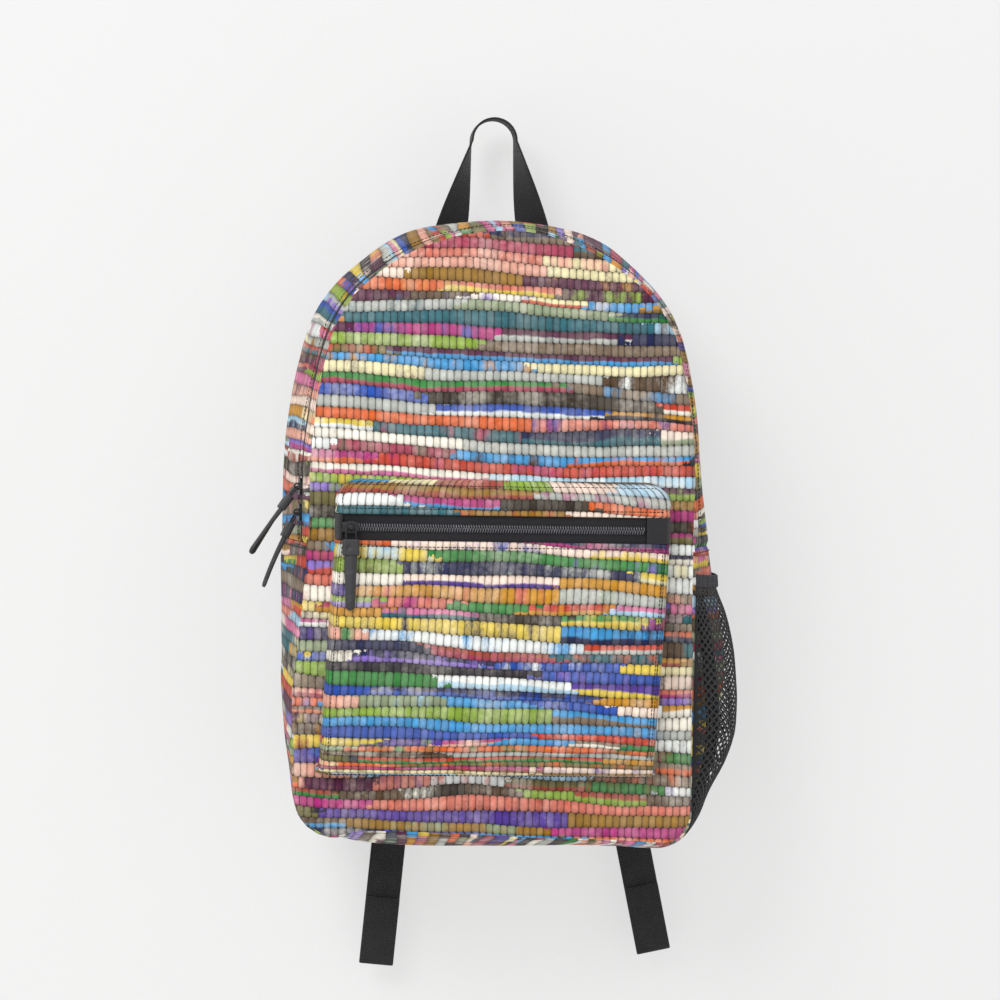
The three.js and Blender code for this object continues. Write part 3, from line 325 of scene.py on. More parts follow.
def clean(mesh, merge, flat=0):
    """Merges points, joins faces that lie flat to each other and turns all faces outward."""
    work = bmesh.new()
    work.from_mesh(mesh)
    bmesh.ops.remove_doubles(work, verts=work.verts, dist=merge)
    if flat:
        bmesh.ops.dissolve_limit(work, angle_limit=flat, verts=work.verts, edges=work.edges)
    bmesh.ops.recalc_face_normals(work, faces=work.faces)
    work.to_mesh(mesh)
    work.free()


def smooth(mesh, sharp=SHARP_ANGLE):
    mesh.shade_smooth()
    mesh.set_sharp_from_angle(angle=math.radians(sharp))


def mesh_object(name, points, faces, material, uv=None, sharp=SHARP_ANGLE):
    """A closed mesh from bag millimetres, smooth but for edges sharper than an angle."""
    mesh = bpy.data.meshes.new(name)
    mesh.from_pydata(at(points).tolist(), [], faces)
    if uv is not None:
        corner = np.zeros(len(mesh.loops), np.int32)
        mesh.loops.foreach_get("vertex_index", corner)
        layer = mesh.uv_layers.new(name="UVMap")
        layer.data.foreach_set("uv", (np.asarray(uv) / 1000)[corner].astype(np.float32).ravel())
    clean(mesh, MERGE)
    mesh.materials.append(material)
    smooth(mesh, sharp)
    return linked(name, mesh)


def dress(obj, slot, *nodes, body="bag"):
    """Puts a piece on its body and hides the solids that it stands for; slot, the name of its finish, is
    not used.
    """
    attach(obj, body)
    if nodes:
        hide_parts(*nodes)
    return obj


def grid_normals(grid):
    """Ways out of a grid of points, away from the middle of the bag."""
    normal = np.cross(np.gradient(grid, axis=0), np.gradient(grid, axis=1))
    normal /= np.maximum(np.linalg.norm(normal, axis=2, keepdims=True), TINY)
    return -normal if np.sum(normal * (grid - BAG_CENTRE)) < 0 else normal


def strip_faces(rows, cols, wrap, first=0):
    faces = []
    for r in range(rows - 1):
        for c in range(cols if wrap else cols - 1):
            a = first + r * cols + c
            b = first + r * cols + (c + 1) % cols
            faces.append((a, b, b + cols, a + cols))
    return faces


def tube_faces(rows, cols, first=0):
    """Faces of a tube of rings, with one over each end."""
    last = first + (rows - 1) * cols
    ends = [tuple(range(first, first + cols)), tuple(range(last + cols - 1, last - 1, -1))]
    return strip_faces(rows, cols, True, first) + ends


def loft(name, rings, material, uv=None, sharp=SHARP_ANGLE):
    """A closed tube through rings of points."""
    faces = tube_faces(len(rings), len(rings[0]))
    return mesh_object(name, np.concatenate(rings), faces, material, uv, sharp)


def shell(name, outer, inner, uv, material, disc=False):
    """One closed sheet between two grids. A disc runs round, and all its first row is at one point."""
    rows, cols = outer.shape[:2]
    back = rows * cols
    faces = strip_faces(rows, cols, disc)
    faces += [face[::-1] for face in strip_faces(rows, cols, disc, back)]
    last = list(range(back - cols, back))
    if disc:
        edges = [last + last[:1]]
    else:
        edges = [last, list(range(cols)), list(range(0, back, cols)), list(range(cols - 1, back, cols))]
    for edge in edges:
        faces += [(a, b, b + back, a + back) for a, b in zip(edge, edge[1:])]
    points = np.concatenate((outer.reshape(-1, 3), inner.reshape(-1, 3)))
    flat = np.asarray(uv, float).reshape(-1, 2)
    return mesh_object(name, points, faces, material, np.concatenate((flat, flat)))


def unevenness(grid, seed, waves):
    """Soft uneven heights over a grid, from noise of each size and height in turn."""
    total = np.zeros(grid.shape[:2])
    for number, (size, height) in enumerate(waves, seed):
        shift = Vector((number * 7.3, number * 3.1, number * 5.7))
        values = [noise.noise(Vector(p) / size + shift) for p in grid.reshape(-1, 3)]
        total = total + height * np.array(values).reshape(total.shape)
    return total


def lifted(grid, heights):
    return grid + grid_normals(grid) * np.asarray(heights)[..., None]


def steps_along(points):
    """Length of the step to each point of a line from the one before."""
    return np.linalg.norm(np.diff(points, axis=0, prepend=points[:1]), axis=1)


def run_along(points):
    """Distance run along a line of points."""
    return np.cumsum(steps_along(points))


def moved(place, points):
    return np.array([tuple(place @ Vector(p)) for p in points])


# Finishes


def paint(code):
    """A hex colour as linear RGBA."""
    parts = [int(code[k : k + 2], 16) / 255 for k in (0, 2, 4)]
    return (*[p / 12.92 if p <= 0.04045 else ((p + 0.055) / 1.055) ** 2.4 for p in parts], 1)


class Term:
    """A socket of a material that takes plain arithmetic."""

    def __init__(self, graph, socket):
        self.graph = graph
        self.socket = socket

    def __add__(self, other):
        return self.graph.math("ADD", self, other)

    def __sub__(self, other):
        return self.graph.math("SUBTRACT", self, other)

    def __rsub__(self, other):
        return self.graph.math("SUBTRACT", other, self)

    def __mul__(self, other):
        return self.graph.math("MULTIPLY", self, other)

    def __truediv__(self, other):
        return self.graph.math("DIVIDE", self, other)

    __radd__ = __add__
    __rmul__ = __mul__


class Graph:
    """A material whose nodes are written as formulas."""

    def __init__(self, name, **constants):
        self.material = bpy.data.materials.new(name)
        self.material.use_nodes = True
        self.tree = self.material.node_tree
        self.shader = self.tree.nodes["Principled BSDF"]
        sockets = {socket.name.lower().replace(" ", "_"): socket for socket in self.shader.inputs}
        for key, value in constants.items():
            sockets[key].default_value = value

    def put(self, socket, value):
        if isinstance(value, Term):
            self.tree.links.new(value.socket, socket)
        else:
            socket.default_value = value

    def node(self, kind, **settings):
        node = self.tree.nodes.new(kind)
        for key, value in settings.items():
            setattr(node, key, value)
        return node

    def fill(self, node, values):
        for socket, value in zip(node.inputs, values):
            self.put(socket, value)
        return Term(self, node.outputs[0])

    def math(self, operation, *values):
        return self.fill(self.node("ShaderNodeMath", operation=operation), values)

    def vector(self, *parts):
        return self.fill(self.node("ShaderNodeCombineXYZ"), parts)

    def coordinates(self, kind):
        """The three parts of a texture coordinate, in millimetres."""
        place = self.node("ShaderNodeTexCoord")
        scale = self.node("ShaderNodeVectorMath", operation="SCALE")
        self.tree.links.new(place.outputs[kind], scale.inputs[0])
        scale.inputs["Scale"].default_value = 1000
        parts = self.node("ShaderNodeSeparateXYZ")
        self.tree.links.new(scale.outputs[0], parts.inputs[0])
        return [Term(self, socket) for socket in parts.outputs]

    def noise(self, parts, size, detail=2.0):
        """Smooth noise from -0.5 to 0.5, with lumps about as wide as size."""
        node = self.node("ShaderNodeTexNoise")
        node.inputs["Scale"].default_value = 1 / size
        node.inputs["Detail"].default_value = detail
        self.put(node.inputs["Vector"], self.vector(*parts))
        return Term(self, node.outputs["Fac"]) - 0.5

    def random(self, *parts):
        node = self.node("ShaderNodeTexWhiteNoise")
        self.put(node.inputs["Vector"], self.vector(*parts))
        return Term(self, node.outputs["Value"])

    def step(self, value, low, high):
        """0 below low, 1 above high, smooth between."""
        node = self.node("ShaderNodeMapRange", interpolation_type="SMOOTHSTEP")
        return self.fill(node, (value, low, high))

    def wave(self, value, length):
        return self.math("SINE", value * (2 * math.pi / length))

    def ramp(self, value, colours, interpolation="LINEAR"):
        node = self.node("ShaderNodeValToRGB")
        node.color_ramp.interpolation = interpolation
        stops = node.color_ramp.elements
        even = len(colours) if interpolation == "CONSTANT" else len(colours) - 1
        for k, colour in enumerate(colours):
            stop = stops[k] if k < 2 else stops.new(k / even)
            stop.position = k / even
            stop.color = paint(colour)
        return self.fill(node, (value,))

    def mix(self, share, first, second, blend="MIX"):
        node = self.node("ShaderNodeMix", data_type="RGBA", blend_type=blend)
        self.put(node.inputs["Factor"], share)
        self.put(node.inputs[6], first)
        self.put(node.inputs[7], second)
        return Term(self, node.outputs[2])

    def finish(self, colour, height, depth, roughness=None):
        """Colour and relief, whose full depth is in metres."""
        self.put(self.shader.inputs["Base Color"], colour)
        if roughness is not None:
            self.put(self.shader.inputs["Roughness"], roughness)
        relief = self.node("ShaderNodeBump")
        relief.inputs["Distance"].default_value = depth
        self.put(relief.inputs["Height"], height)
        self.tree.links.new(relief.outputs[0], self.shader.inputs["Normal"])
        return self.material


# In the finishes, noise takes a place, the width of its lumps in millimetres and its detail. The last
# part of a place, and the whole numbers in random, only tell the draws apart. Factors are weights.

RAG_COLOURS = (
    "d0705e", "e0a08c", "eed6c6", "9c4232", "d45e26", "bc3a26", "c48a24", "946c22",
    "dcc044", "e8deae", "eee8da", "e6eae8", "b2b6b0", "a6cce2", "3a92cc", "284ea8",
    "1c224c", "4e3190", "8468be", "aa2874", "cc6894", "a43a56", "542040", "523a24",
    "32281f", "786654", "6e6638", "8c9a7a", "84a238", "2c7e38", "28626e", "221e2c",
)
LINE_COLOUR = "241d1b"
PALE_COLOUR = "ece5d8"
ROW_HEIGHT = 7.6
ROW_SLOPE = 0.03
BEAD_WIDTH = 5.1
SHORTEST_RUN = 40
RUN_SPREAD = 190
DYED_SHARE = 0.5
TWIN_SHARE = 0.3
MOST_FADE = 0.46


def bead_place(g):
    """Where a point of the print lies: UV, row and bead, and the shares of the way up and over them."""
    u, v, _ = g.coordinates("UV")
    sway = v + ROW_SLOPE * u + 11 * g.noise((u * 0.6, v, 0.0), 150) + 6 * g.noise((u * 0.6, v, 3.0), 46)
    level = sway + 11 * g.noise((u * 0.16, sway, 9.0), 17, 0.0)
    rows = level / ROW_HEIGHT
    row = g.math("FLOOR", rows)
    uneven = 0.7 * g.noise((u, row * 5.0, 13.0), 15)
    columns = u / BEAD_WIDTH + 0.5 * g.math("PINGPONG", row, 1.0) + g.random(row, 7.0, 0.0) + uneven
    bead = g.math("FLOOR", columns)
    return u, v, row, bead, rows - row, columns - bead


def rag_colour(g, u, v, row, bead, up, patch):
    """Colours that run along the rows, give way to each other in long wedges, and fade."""
    fleck = g.noise((u * 1.2, v * 0.7, 29.0), 1.5, 4.0)
    wedge = 30 * (g.random(row, 1.0, 0.0) - 0.5) * (up - 0.5)
    place = BEAD_WIDTH * bead + wedge + 12 * (g.random(bead, row, 2.0) - 0.5) + 8 * fleck
    stretch = SHORTEST_RUN + RUN_SPREAD * g.random(row, 2.0, 0.0)
    run = g.math("FLOOR", place / stretch + 90 * g.random(row, 3.0, 0.0))
    pick = g.ramp(g.random(row, run, 4.0), RAG_COLOURS, "CONSTANT")
    other = g.ramp(g.random(row, run, 5.0), RAG_COLOURS, "CONSTANT")
    dyed = g.math("LESS_THAN", g.random(row, run, 8.0), DYED_SHARE)
    lumps = g.noise((u, row * 9.0 + up * 2.5, 11.0), 13, 3.0)
    blotch = dyed * g.step(lumps + 0.2 * fleck, -0.02, 0.22)
    twin = g.math("LESS_THAN", g.random(row, run, 6.0), TWIN_SHARE)
    drift = 0.9 * g.noise((u, row * 3.0, 7.0), 34)
    lower = 1 - g.step(up + drift + 0.25 * g.noise((u, v, 8.0), 4), 0.34, 0.56)
    colour = g.mix(g.math("MAXIMUM", twin * lower, blotch), pick, other)
    fade = g.step(g.noise((u, row * 4.0, 33.0), 19, 2.0) + 0.3 * patch, -0.12, 0.3)
    fade = fade * g.random(row, run, 10.0) + 0.2 * g.random(bead, row, 12.0)
    return g.mix(MOST_FADE * fade, colour, paint(PALE_COLOUR))


def printed_cloth():
    """Print of a rag weave: wavy rows of beads, each a small pillow with frayed edges and fibres."""
    g = Graph("printed_cloth", roughness=0.82, specular_ior_level=0.25)
    u, v, row, bead, up, over = bead_place(g)
    patch = g.noise((u, v, 31.0), 3.6, 2.0)
    colour = rag_colour(g, u, v, row, bead, up, patch)

    across_row = g.math("ABSOLUTE", 2 * up - 1)
    across_bead = g.math("ABSOLUTE", 2 * over - 1)
    edge = g.math("POWER", across_row, 2.6) + g.math("POWER", across_bead, 3.0)
    fray = g.noise((u, v, 19.0), 1.9, 3.0)
    beside = 0.62 * g.step(across_bead + 0.2 * fray, 0.84, 0.98)
    around = 0.86 * g.step(edge + 0.7 * fray, 0.98, 1.36)
    fibre = g.noise((u * 3.0, v * 0.6, 37.0), 1.6, 3.0)
    shade = 1.2 + 0.3 * (g.random(bead, row, 9.0) - 0.5) + 0.6 * fibre + 0.6 * patch + 0.24 * (up - 0.5)
    shade = shade * (1 - 0.4 * g.math("MINIMUM", edge, 1.0))
    cloth = g.mix(1.0, colour, g.vector(shade, shade, shade), "MULTIPLY")
    inked = g.mix(g.math("MAXIMUM", beside, around), cloth, paint(LINE_COLOUR))
    weave = g.math("SINE", u * 9.0) * g.math("SINE", v * 9.0)
    relief = 1 - 0.8 * g.math("MINIMUM", edge, 1.0) + 0.14 * weave + 0.5 * fibre
    return g.finish(inked, relief, 0.00028)


def woven_black(name, dark, light, pitch, depth, **constants):
    """Plain black weave that needs no UVs."""
    g = Graph(name, **constants)
    x, y, z = g.coordinates("Object")
    weave = g.wave(x + y, pitch) * g.wave(z + y * 0.35, pitch)
    wear = g.noise((x, y, z), 38, 4.0) + 0.5 * g.noise((x, y, z), 2.2)
    colour = g.ramp(0.45 + 0.22 * weave + 0.7 * wear, (dark, light))
    return g.finish(colour, weave + 0.8 * wear, depth)


def webbing_black():
    """Ribbed webbing: cross ridges along v, softened edges, and a slight herringbone."""
    g = Graph("webbing", roughness=0.72, specular_ior_level=0.3, sheen_weight=0.12)
    u, v, _ = g.coordinates("UV")
    ridges = g.math("SINE", v * (2 * math.pi / 1.5) + 1.2 * g.wave(u, 3.1))
    ribs = g.wave(u, 1.55)
    wear = g.noise((u, v, 0.0), 14, 4.0) + 0.6 * g.noise((u, v * 0.4, 5.0), 1.1)
    colour = g.ramp(0.42 + 0.2 * ridges + 0.1 * ribs + 0.6 * wear, ("141416", "37373a"))
    return g.finish(colour, ridges + 0.6 * ribs, 0.00018)


def elastic_black():
    """Knitted elastic: fine upright ribs."""
    g = Graph("elastic", roughness=0.8, specular_ior_level=0.25)
    u, v, _ = g.coordinates("UV")
    ribs = g.wave(u, 1.6)
    knit = g.wave(v, 1.1)
    wear = g.noise((u, v, 0.0), 9, 4.0)
    colour = g.ramp(0.45 + 0.25 * ribs + 0.12 * knit + 0.5 * wear, ("26262a", "56545a"))
    return g.finish(colour, ribs + 0.4 * knit, 0.00025)


def moulded_black(name, dark, light, grain, depth, **constants):
    """Moulded or painted black with a fine grain and lighter worn patches."""
    g = Graph(name, **constants)
    place = g.coordinates("Object")
    fine = g.noise(place, grain, 3.0)
    worn = g.step(g.noise(place, 5.5, 4.0), 0.05, 0.3)
    colour = g.ramp(0.25 + 0.5 * worn + 0.35 * fine, (dark, light))
    rough = constants["roughness"] + 0.18 * fine + 0.08 * worn
    return g.finish(colour, fine, depth, rough)


PRINT = printed_cloth()
BLACK = woven_black("black_cloth", "121214", "303034", 1.1, 0.00016, roughness=0.85, sheen_weight=0.1)
PAD_CLOTH = woven_black("pad_cloth", "101012", "2c2c30", 2.6, 0.0005, roughness=0.9, sheen_weight=0.15)
TAPE = woven_black("zip_tape", "17171a", "35353a", 0.9, 0.0002, roughness=0.85)
THREAD = woven_black("thread", "08080a", "1e1e22", 0.5, 0.00005, roughness=0.7)
NET = woven_black("net", "0a0a0c", "28282c", 0.7, 0.0001, roughness=0.85, sheen_weight=0.1)
WEBBING = webbing_black()
ELASTIC = elastic_black()
# Painted highlight: the pocket zip's black coil gets light grey colours that stand in for the glints on
# its loops
GLINT_PAINTED_COIL = moulded_black("zip_coil", "3a3a40", "96969e", 0.6, 0.00003, roughness=0.26)
DARK_COIL = moulded_black("zip_coil_dark", "0a0a0c", "2a2a2e", 0.6, 0.00003, roughness=0.45)
METAL = moulded_black("slider_metal", "141416", "48484c", 0.4, 0.00002, roughness=0.4, metallic=0.35)
RUBBER = moulded_black("pull_rubber", "1c1c1e", "4a4a4e", 0.5, 0.00003, roughness=0.55)
PLASTIC = moulded_black("lock_plastic", "101012", "2e2e32", 0.5, 0.00003, roughness=0.42)


# Thread

STITCH_PITCH = 2.8
STITCH_LENGTH = 2.45
STITCH_RADIUS = 0.32
BEAD_SIDES = 6
BEAD_RINGS = ((0.0, 0.25), (0.18, 0.85), (0.5, 1.0), (0.82, 0.85), (1.0, 0.25))


def stitch_row(name, lines, radius=STITCH_RADIUS):
    """Stitches along lines, each a list of points and the way out of the cloth at each point."""
    points = []
    faces = []
    for path, outward in lines:
        reach = run_along(path)

        def along(values, distance):
            return np.array([np.interp(distance, reach, values[:, k]) for k in range(3)])

        for middle in np.arange(STITCH_PITCH / 2, reach[-1], STITCH_PITCH):
            low = along(path, middle - STITCH_LENGTH / 2)
            high = along(path, middle + STITCH_LENGTH / 2)
            out = along(outward, middle)
            add_bead(points, faces, low, high, out / np.linalg.norm(out), radius)
    return dress(mesh_object(name, points, faces, THREAD), "black_cloth")


def add_bead(points, faces, low, high, out, radius):
    """A rounded thread from low to high that stands a little out of what it lies on."""
    run = high - low
    side = np.cross(run / np.linalg.norm(run), out)
    faces += tube_faces(len(BEAD_RINGS), BEAD_SIDES, len(points))
    for way, size in BEAD_RINGS:
        centre = low + run * way + out * radius * (0.9 * size - 0.5)
        for k in range(BEAD_SIDES):
            turn = 2 * math.pi * k / BEAD_SIDES
            points.append(centre + radius * size * (side * math.cos(turn) + out * math.sin(turn)))


# Body of the bag. Waves are pairs of a size and a height of the cloth's unevenness.

SEAM_ROLL = 4.5
SEAM_DEPTH = 3.4
PUCKER = 0.22
PUCKER_PITCH = 9
PUCKER_REACH = 9
PANEL_RINGS = 52
PANEL_WAVES = ((70, 1.1), (19, 0.3))
GUSSET_WAVES = ((60, 1.2), (17, 0.35))
GUSSET_FRONT_Y = FRONT_Y + 1
GUSSET_BACK_Y = BACK_Y - GAP
LIP_ROLL = 3
LIP_DEPTH = 1.3
ROW_STEP = 3.4
COLUMN_STEP = 3
FEWEST_COLUMNS = 12
UPPER_PRINT_SHIFT = 900
LOWER_PRINT_SHIFT = 1700
FRONT_LIP_Y = ZIP_Y - ZIP_OPENING / 2
REAR_LIP_Y = ZIP_Y + ZIP_OPENING / 2
ZIP_END = side_distance(ZIP_END_Z)

# How far the cloth stands out from the solids: behind the net, under the base, over the shoulders
SIDE_FULLNESS = 15
FULL_TOP_Z = 205
BASE_FULLNESS = 4.5
BASE_FULL_X = -40
BASE_FULL_REACH = 100
CORNER_DROP = 4
CORNER_DROP_X = -120
CORNER_DROP_REACH = 18
CROWN_FULLNESS = 5
CROWN_FULL_X = 72
CROWN_FULL_REACH = 30


def puckers(distance_along, distance_in):
    """Small waves in the cloth along a seam, gone a finger's width from it."""
    wave = np.sin(2 * math.pi * distance_along / PUCKER_PITCH)
    return PUCKER * wave * np.exp(-distance_in / PUCKER_REACH)


def front_panel():
    rings = 1 - (1 - np.linspace(0, 1, PANEL_RINGS)) ** 1.5
    flat = PANEL_CENTRE + RIM_RAYS * rings[:, None, None]
    inside = (1 - rings)[:, None] * RIM_REACH
    y = dome_y(rings)[:, None] - puckers(RIM_DISTANCES, inside)
    y = y + SEAM_DEPTH * (1 - rolled(inside, SEAM_ROLL))
    grid = spread(flat[..., 0], y, flat[..., 1])
    grid[..., 1] += unevenness(grid, 2, PANEL_WAVES)
    obj = shell("front_panel_cloth", grid, grid + (0, CLOTH, 0), flat, PRINT, disc=True)
    dress(obj, "printed_cloth", "front_panel")


def fullness(distances, depths):
    """How far the soft cloth stands out: behind the net, under the base and over the shoulders."""
    x, z, nx, nz = outline(distances).T[:, :, None]
    way = np.clip(z / FULL_TOP_Z, 0, 1)
    side = SIDE_FULLNESS * np.maximum(0, nx) * np.sin(math.pi * way) ** 2
    under = np.maximum(0, -nz)
    base = BASE_FULLNESS * np.maximum(0, 1 - ((x - BASE_FULL_X) / BASE_FULL_REACH) ** 2) * under**2
    corner = CORNER_DROP * under * bump(x - CORNER_DROP_X, CORNER_DROP_REACH)
    crown = CROWN_FULLNESS * np.maximum(0, nz) * bump(np.abs(x) - CROWN_FULL_X, CROWN_FULL_REACH)
    behind_zip = np.clip((depths - REAR_LIP_Y) / (GUSSET_BACK_Y - REAR_LIP_Y), 0, 1)
    middle = np.cos(math.pi * depths / BAG_DEPTH) ** 2
    return (side + base - corner) * middle + crown * np.sin(math.pi * behind_zip)


def gusset_cloth(name, node, ends, edges, shift, seed):
    """A strip of the gusset between two distances along it and two depths. All its edges turn in."""
    start, end = ends
    front, back = edges
    distances = np.linspace(start, end, int((end - start) / ROW_STEP))[:, None]
    depths = np.linspace(front, back, max(FEWEST_COLUMNS, int((back - front) / COLUMN_STEP)))
    drop = -puckers(distances, depths - front)
    for inside in (depths - front, back - depths, distances - start, end - distances):
        drop = drop + LIP_DEPTH * (1 - rolled(inside, LIP_ROLL))
    rows = distances[:, 0]
    full = fullness(rows, depths)
    outer = gusset(rows, depths, full - drop)
    outer = lifted(outer, unevenness(outer, seed, GUSSET_WAVES))
    inner = gusset(rows, depths, full - CLOTH - 1.2 * np.minimum(1, drop))
    dress(shell(name, outer, inner, spread(depths + shift, distances), PRINT), "printed_cloth", node)
    return outer


def gussets():
    upper = (ZIP_END + GAP, OUTLINE_LENGTH - ZIP_END - GAP)
    before = (GUSSET_FRONT_Y, FRONT_LIP_Y)
    behind = (REAR_LIP_Y, GUSSET_BACK_Y)
    lower = (-ZIP_END, ZIP_END)
    full = (GUSSET_FRONT_Y, GUSSET_BACK_Y)
    front = gusset_cloth("gusset_front_cloth", "gusset_front_strip", upper, before, UPPER_PRINT_SHIFT, 5)
    rear = gusset_cloth("gusset_rear_cloth", "gusset_rear_strip", upper, behind, UPPER_PRINT_SHIFT, 7)
    base = gusset_cloth("lower_gusset_cloth", "lower_gusset", lower, full, LOWER_PRINT_SHIFT, 9)
    seams = [(base[row], grid_normals(base)[row]) for row in (1, -2)]
    for strip, column in ((front, -2), (rear, 1)):
        seams.append((strip[:, column], grid_normals(strip)[:, column]))
    stitch_row("gusset_stitching", seams)


# Zips

TOOTH_PITCH = 1.75
TOOTH_REACH = 3.2
TOOTH_RADIUS = 0.5
TOOTH_OVERLAP = 0.12
TOOTH_SLANT = 0.35
TOOTH_DIP = 0.5
COIL_MARGIN = 1
TAPE_WAVES = ((26, 0.16),)


def tooth_row(name, places, node, material):
    """Two rows of coil loops. Each place is a point on the coil's top, with its along and out ways."""
    points = []
    faces = []
    for point, along, out in places:
        across = np.cross(out, along)
        for side in (-1, 1):
            reach = across * side * TOOTH_REACH
            base = point + along * (TOOTH_PITCH / 4 * side) - out * TOOTH_RADIUS
            low = base + reach * (1 - TOOTH_OVERLAP) - along * TOOTH_SLANT - out * TOOTH_DIP
            high = base - reach * TOOTH_OVERLAP + along * TOOTH_SLANT
            add_bead(points, faces, low, high, out, TOOTH_RADIUS)
    return dress(mesh_object(name, points, faces, material), "zip_coil", node)


def zip_frame(distance):
    """The gusset's slope under the zip: a point and the ways along, across and out."""
    front, place, rear = gusset([distance], ZIP_Y + COIL_WIDTH / 2 * np.array((-1, 0, 1)))[0]
    across = (rear - front) / np.linalg.norm(rear - front)
    _, _, nx, nz = outline_at(distance)
    along = np.array((nz, 0, -nx))
    return place, along, across, np.cross(along, across)


def main_zip():
    start = ZIP_END - TAPE_LAP
    distances = np.linspace(start, OUTLINE_LENGTH - start, 240)
    for name, side in (("front", -1), ("rear", 1)):
        depths = ZIP_Y + side * np.linspace(GAP / 2, ZIP_OPENING / 2 + TAPE_LAP, 6)
        top = gusset(distances, depths, TAPE_LIFT)
        low = gusset(distances, depths, TAPE_LIFT - TAPE_CLOTH)
        tape = shell(f"main_zip_tape_{name}_cloth", top, low, spread(depths, distances[:, None]), TAPE)
        dress(tape, "black_cloth", f"main_zip_tape_{name}")

    places = []
    first = ZIP_END + COIL_MARGIN
    for s in np.arange(first, OUTLINE_LENGTH - first, TOOTH_PITCH):
        place, along, _, out = zip_frame(s)
        places.append((place + out * COIL_TOP_LIFT, along, out))
    tooth_row("main_zip_teeth", places, "main_zip_coil", DARK_COIL)


def pocket_zip():
    columns = np.linspace(POCKET_ZIP_LEFT, POCKET_ZIP_RIGHT, 90)
    for name, side in (("upper", 1), ("lower", -1)):
        rows = POCKET_ZIP_Z + side * np.linspace(GAP / 2, POCKET_LIP + POCKET_TAPE_LAP, 7)[:, None]
        grid = spread(columns, POCKET_TAPE_Y, rows)
        outer = lifted(grid, unevenness(grid, 11, TAPE_WAVES))
        inner = grid + (0, TAPE_CLOTH, 0)
        tape = shell(f"pocket_zip_tape_{name}_cloth", outer, inner, spread(columns, rows), TAPE)
        dress(tape, "black_cloth", f"pocket_zip_tape_{name}")
    along = np.array((1, 0, 0))
    out = np.array((0, -1, 0))
    places = []
    for x in np.arange(POCKET_ZIP_LEFT + COIL_MARGIN, POCKET_ZIP_RIGHT - COIL_MARGIN, TOOTH_PITCH):
        places.append((np.array((x, POCKET_COIL_Y, POCKET_ZIP_Z)), along, out))
    # This coil's light grey colours are painted glints
    tooth_row("pocket_zip_teeth", places, "pocket_zip_coil", GLINT_PAINTED_COIL)


# Front pocket

STITCH_INSET = 4.5
SECOND_STITCH_INSET = 6.5
LIP_STITCH = 4
# Thicker black thread on the pocket's floor seam: a real seam that also paints in the dark shade line
# under the tucked floor
SHADE_LINE_THREAD = 0.65
GROOVE_DEPTH = 0.55
GROOVE_WIDTH = 1.6
HEM_DEPTH = 0.9
HEM_ROLL = 1.6
# Rows from a lip of the zip inwards, and which of them is sewn
LIP_ROWS = (0, 0.6, 1.4, 2.4, 3.2, LIP_STITCH, 4.8, 5.8)
LIP_ROW = LIP_ROWS.index(LIP_STITCH)
LIP_END = 7.5
# The floor: heights over the pocket's bottom, and the share of the pouch's depth at each
TUCK_RISE = np.array((10, 7.5, 5.4, 3.6, 2.2, 1.1, 0.3, -0.1, -0.2, 0.3, 1.2, 2.6, 4.4))
TUCK_SHARE = np.array((0.99, 0.97, 0.94, 0.9, 0.85, 0.79, 0.72, 0.64, 0.54, 0.43, 0.31, 0.17, 0.02))
TUCK_LOWEST = 8
# Creases over the floor, each from x, z to x, z
CREASED_Z = 94
CREASES = ((-108, 76, -52, 68), (-80, 66, -4, 71), (-10, 72, 66, 67), (34, 65, 104, 74))
CREASE_DEPTH = 3.6
CREASE_WIDTH = 1.9
CREASE_BOW = 1.6
FOLD_HEIGHT = 1.5
FOLD_RISE = 22
FOLD_REACH = 16
# The print's rows lie closer together near the floor
GATHER_Z = 76
GATHER_SOFT = 5
GATHER_RATE = 1.5
POCKET_PRINT_U = 260
POCKET_PRINT_V = 918
TOP_PRINT_V = 730
FRONT_RUN_ROW = 40
FRONT_RUN_COLUMN = 60
POCKET_WAVES = ((55, 1.3), (15, 0.35))
TOP_WAVES = ((42, 1.1), (14, 0.4))
TAB_WAVES = ((9, 0.25),)
TOP_CROWN = 6
EDGE_STATIONS = np.array((0, 0.12, 0.35, 0.7, 1.2, 1.9, 2.8, 3.6, STITCH_INSET, 5.4, 6.5, 8, 10))
EVEN_HALF = POCKET_HALF - EDGE_STATIONS[-1]
POCKET_COLUMNS = np.concatenate(
    (
        EDGE_STATIONS - POCKET_HALF,
        np.linspace(-EVEN_HALF, EVEN_HALF, 70)[1:-1],
        POCKET_HALF - EDGE_STATIONS[::-1],
    )
)


def column_at(x):
    return int(np.argmin(np.abs(POCKET_COLUMNS - x)))


LEFT_STITCH = column_at(STITCH_INSET - POCKET_HALF)
RIGHT_STITCH = column_at(POCKET_HALF - STITCH_INSET)
SEWN = slice(LEFT_STITCH, RIGHT_STITCH)


def pouch(x, z, face, half, share, lean=0):
    """Points of the pouch's face, rolled back to the front panel at its two sides."""
    seat = front_y(x - lean, z) - GAP
    depth = np.maximum(0, seat - face)
    y = seat - depth * share * rolled(half - np.abs(x), POCKET_EDGE_RADIUS)
    return spread(x - lean, y, z)


def sewn_dip(to_stitch, to_lip):
    """How far the cloth sinks along its stitches and turns in at the lip of the zip."""
    return -GROOVE_DEPTH * bump(to_stitch, GROOVE_WIDTH) - HEM_DEPTH * (1 - rolled(to_lip, HEM_ROLL))


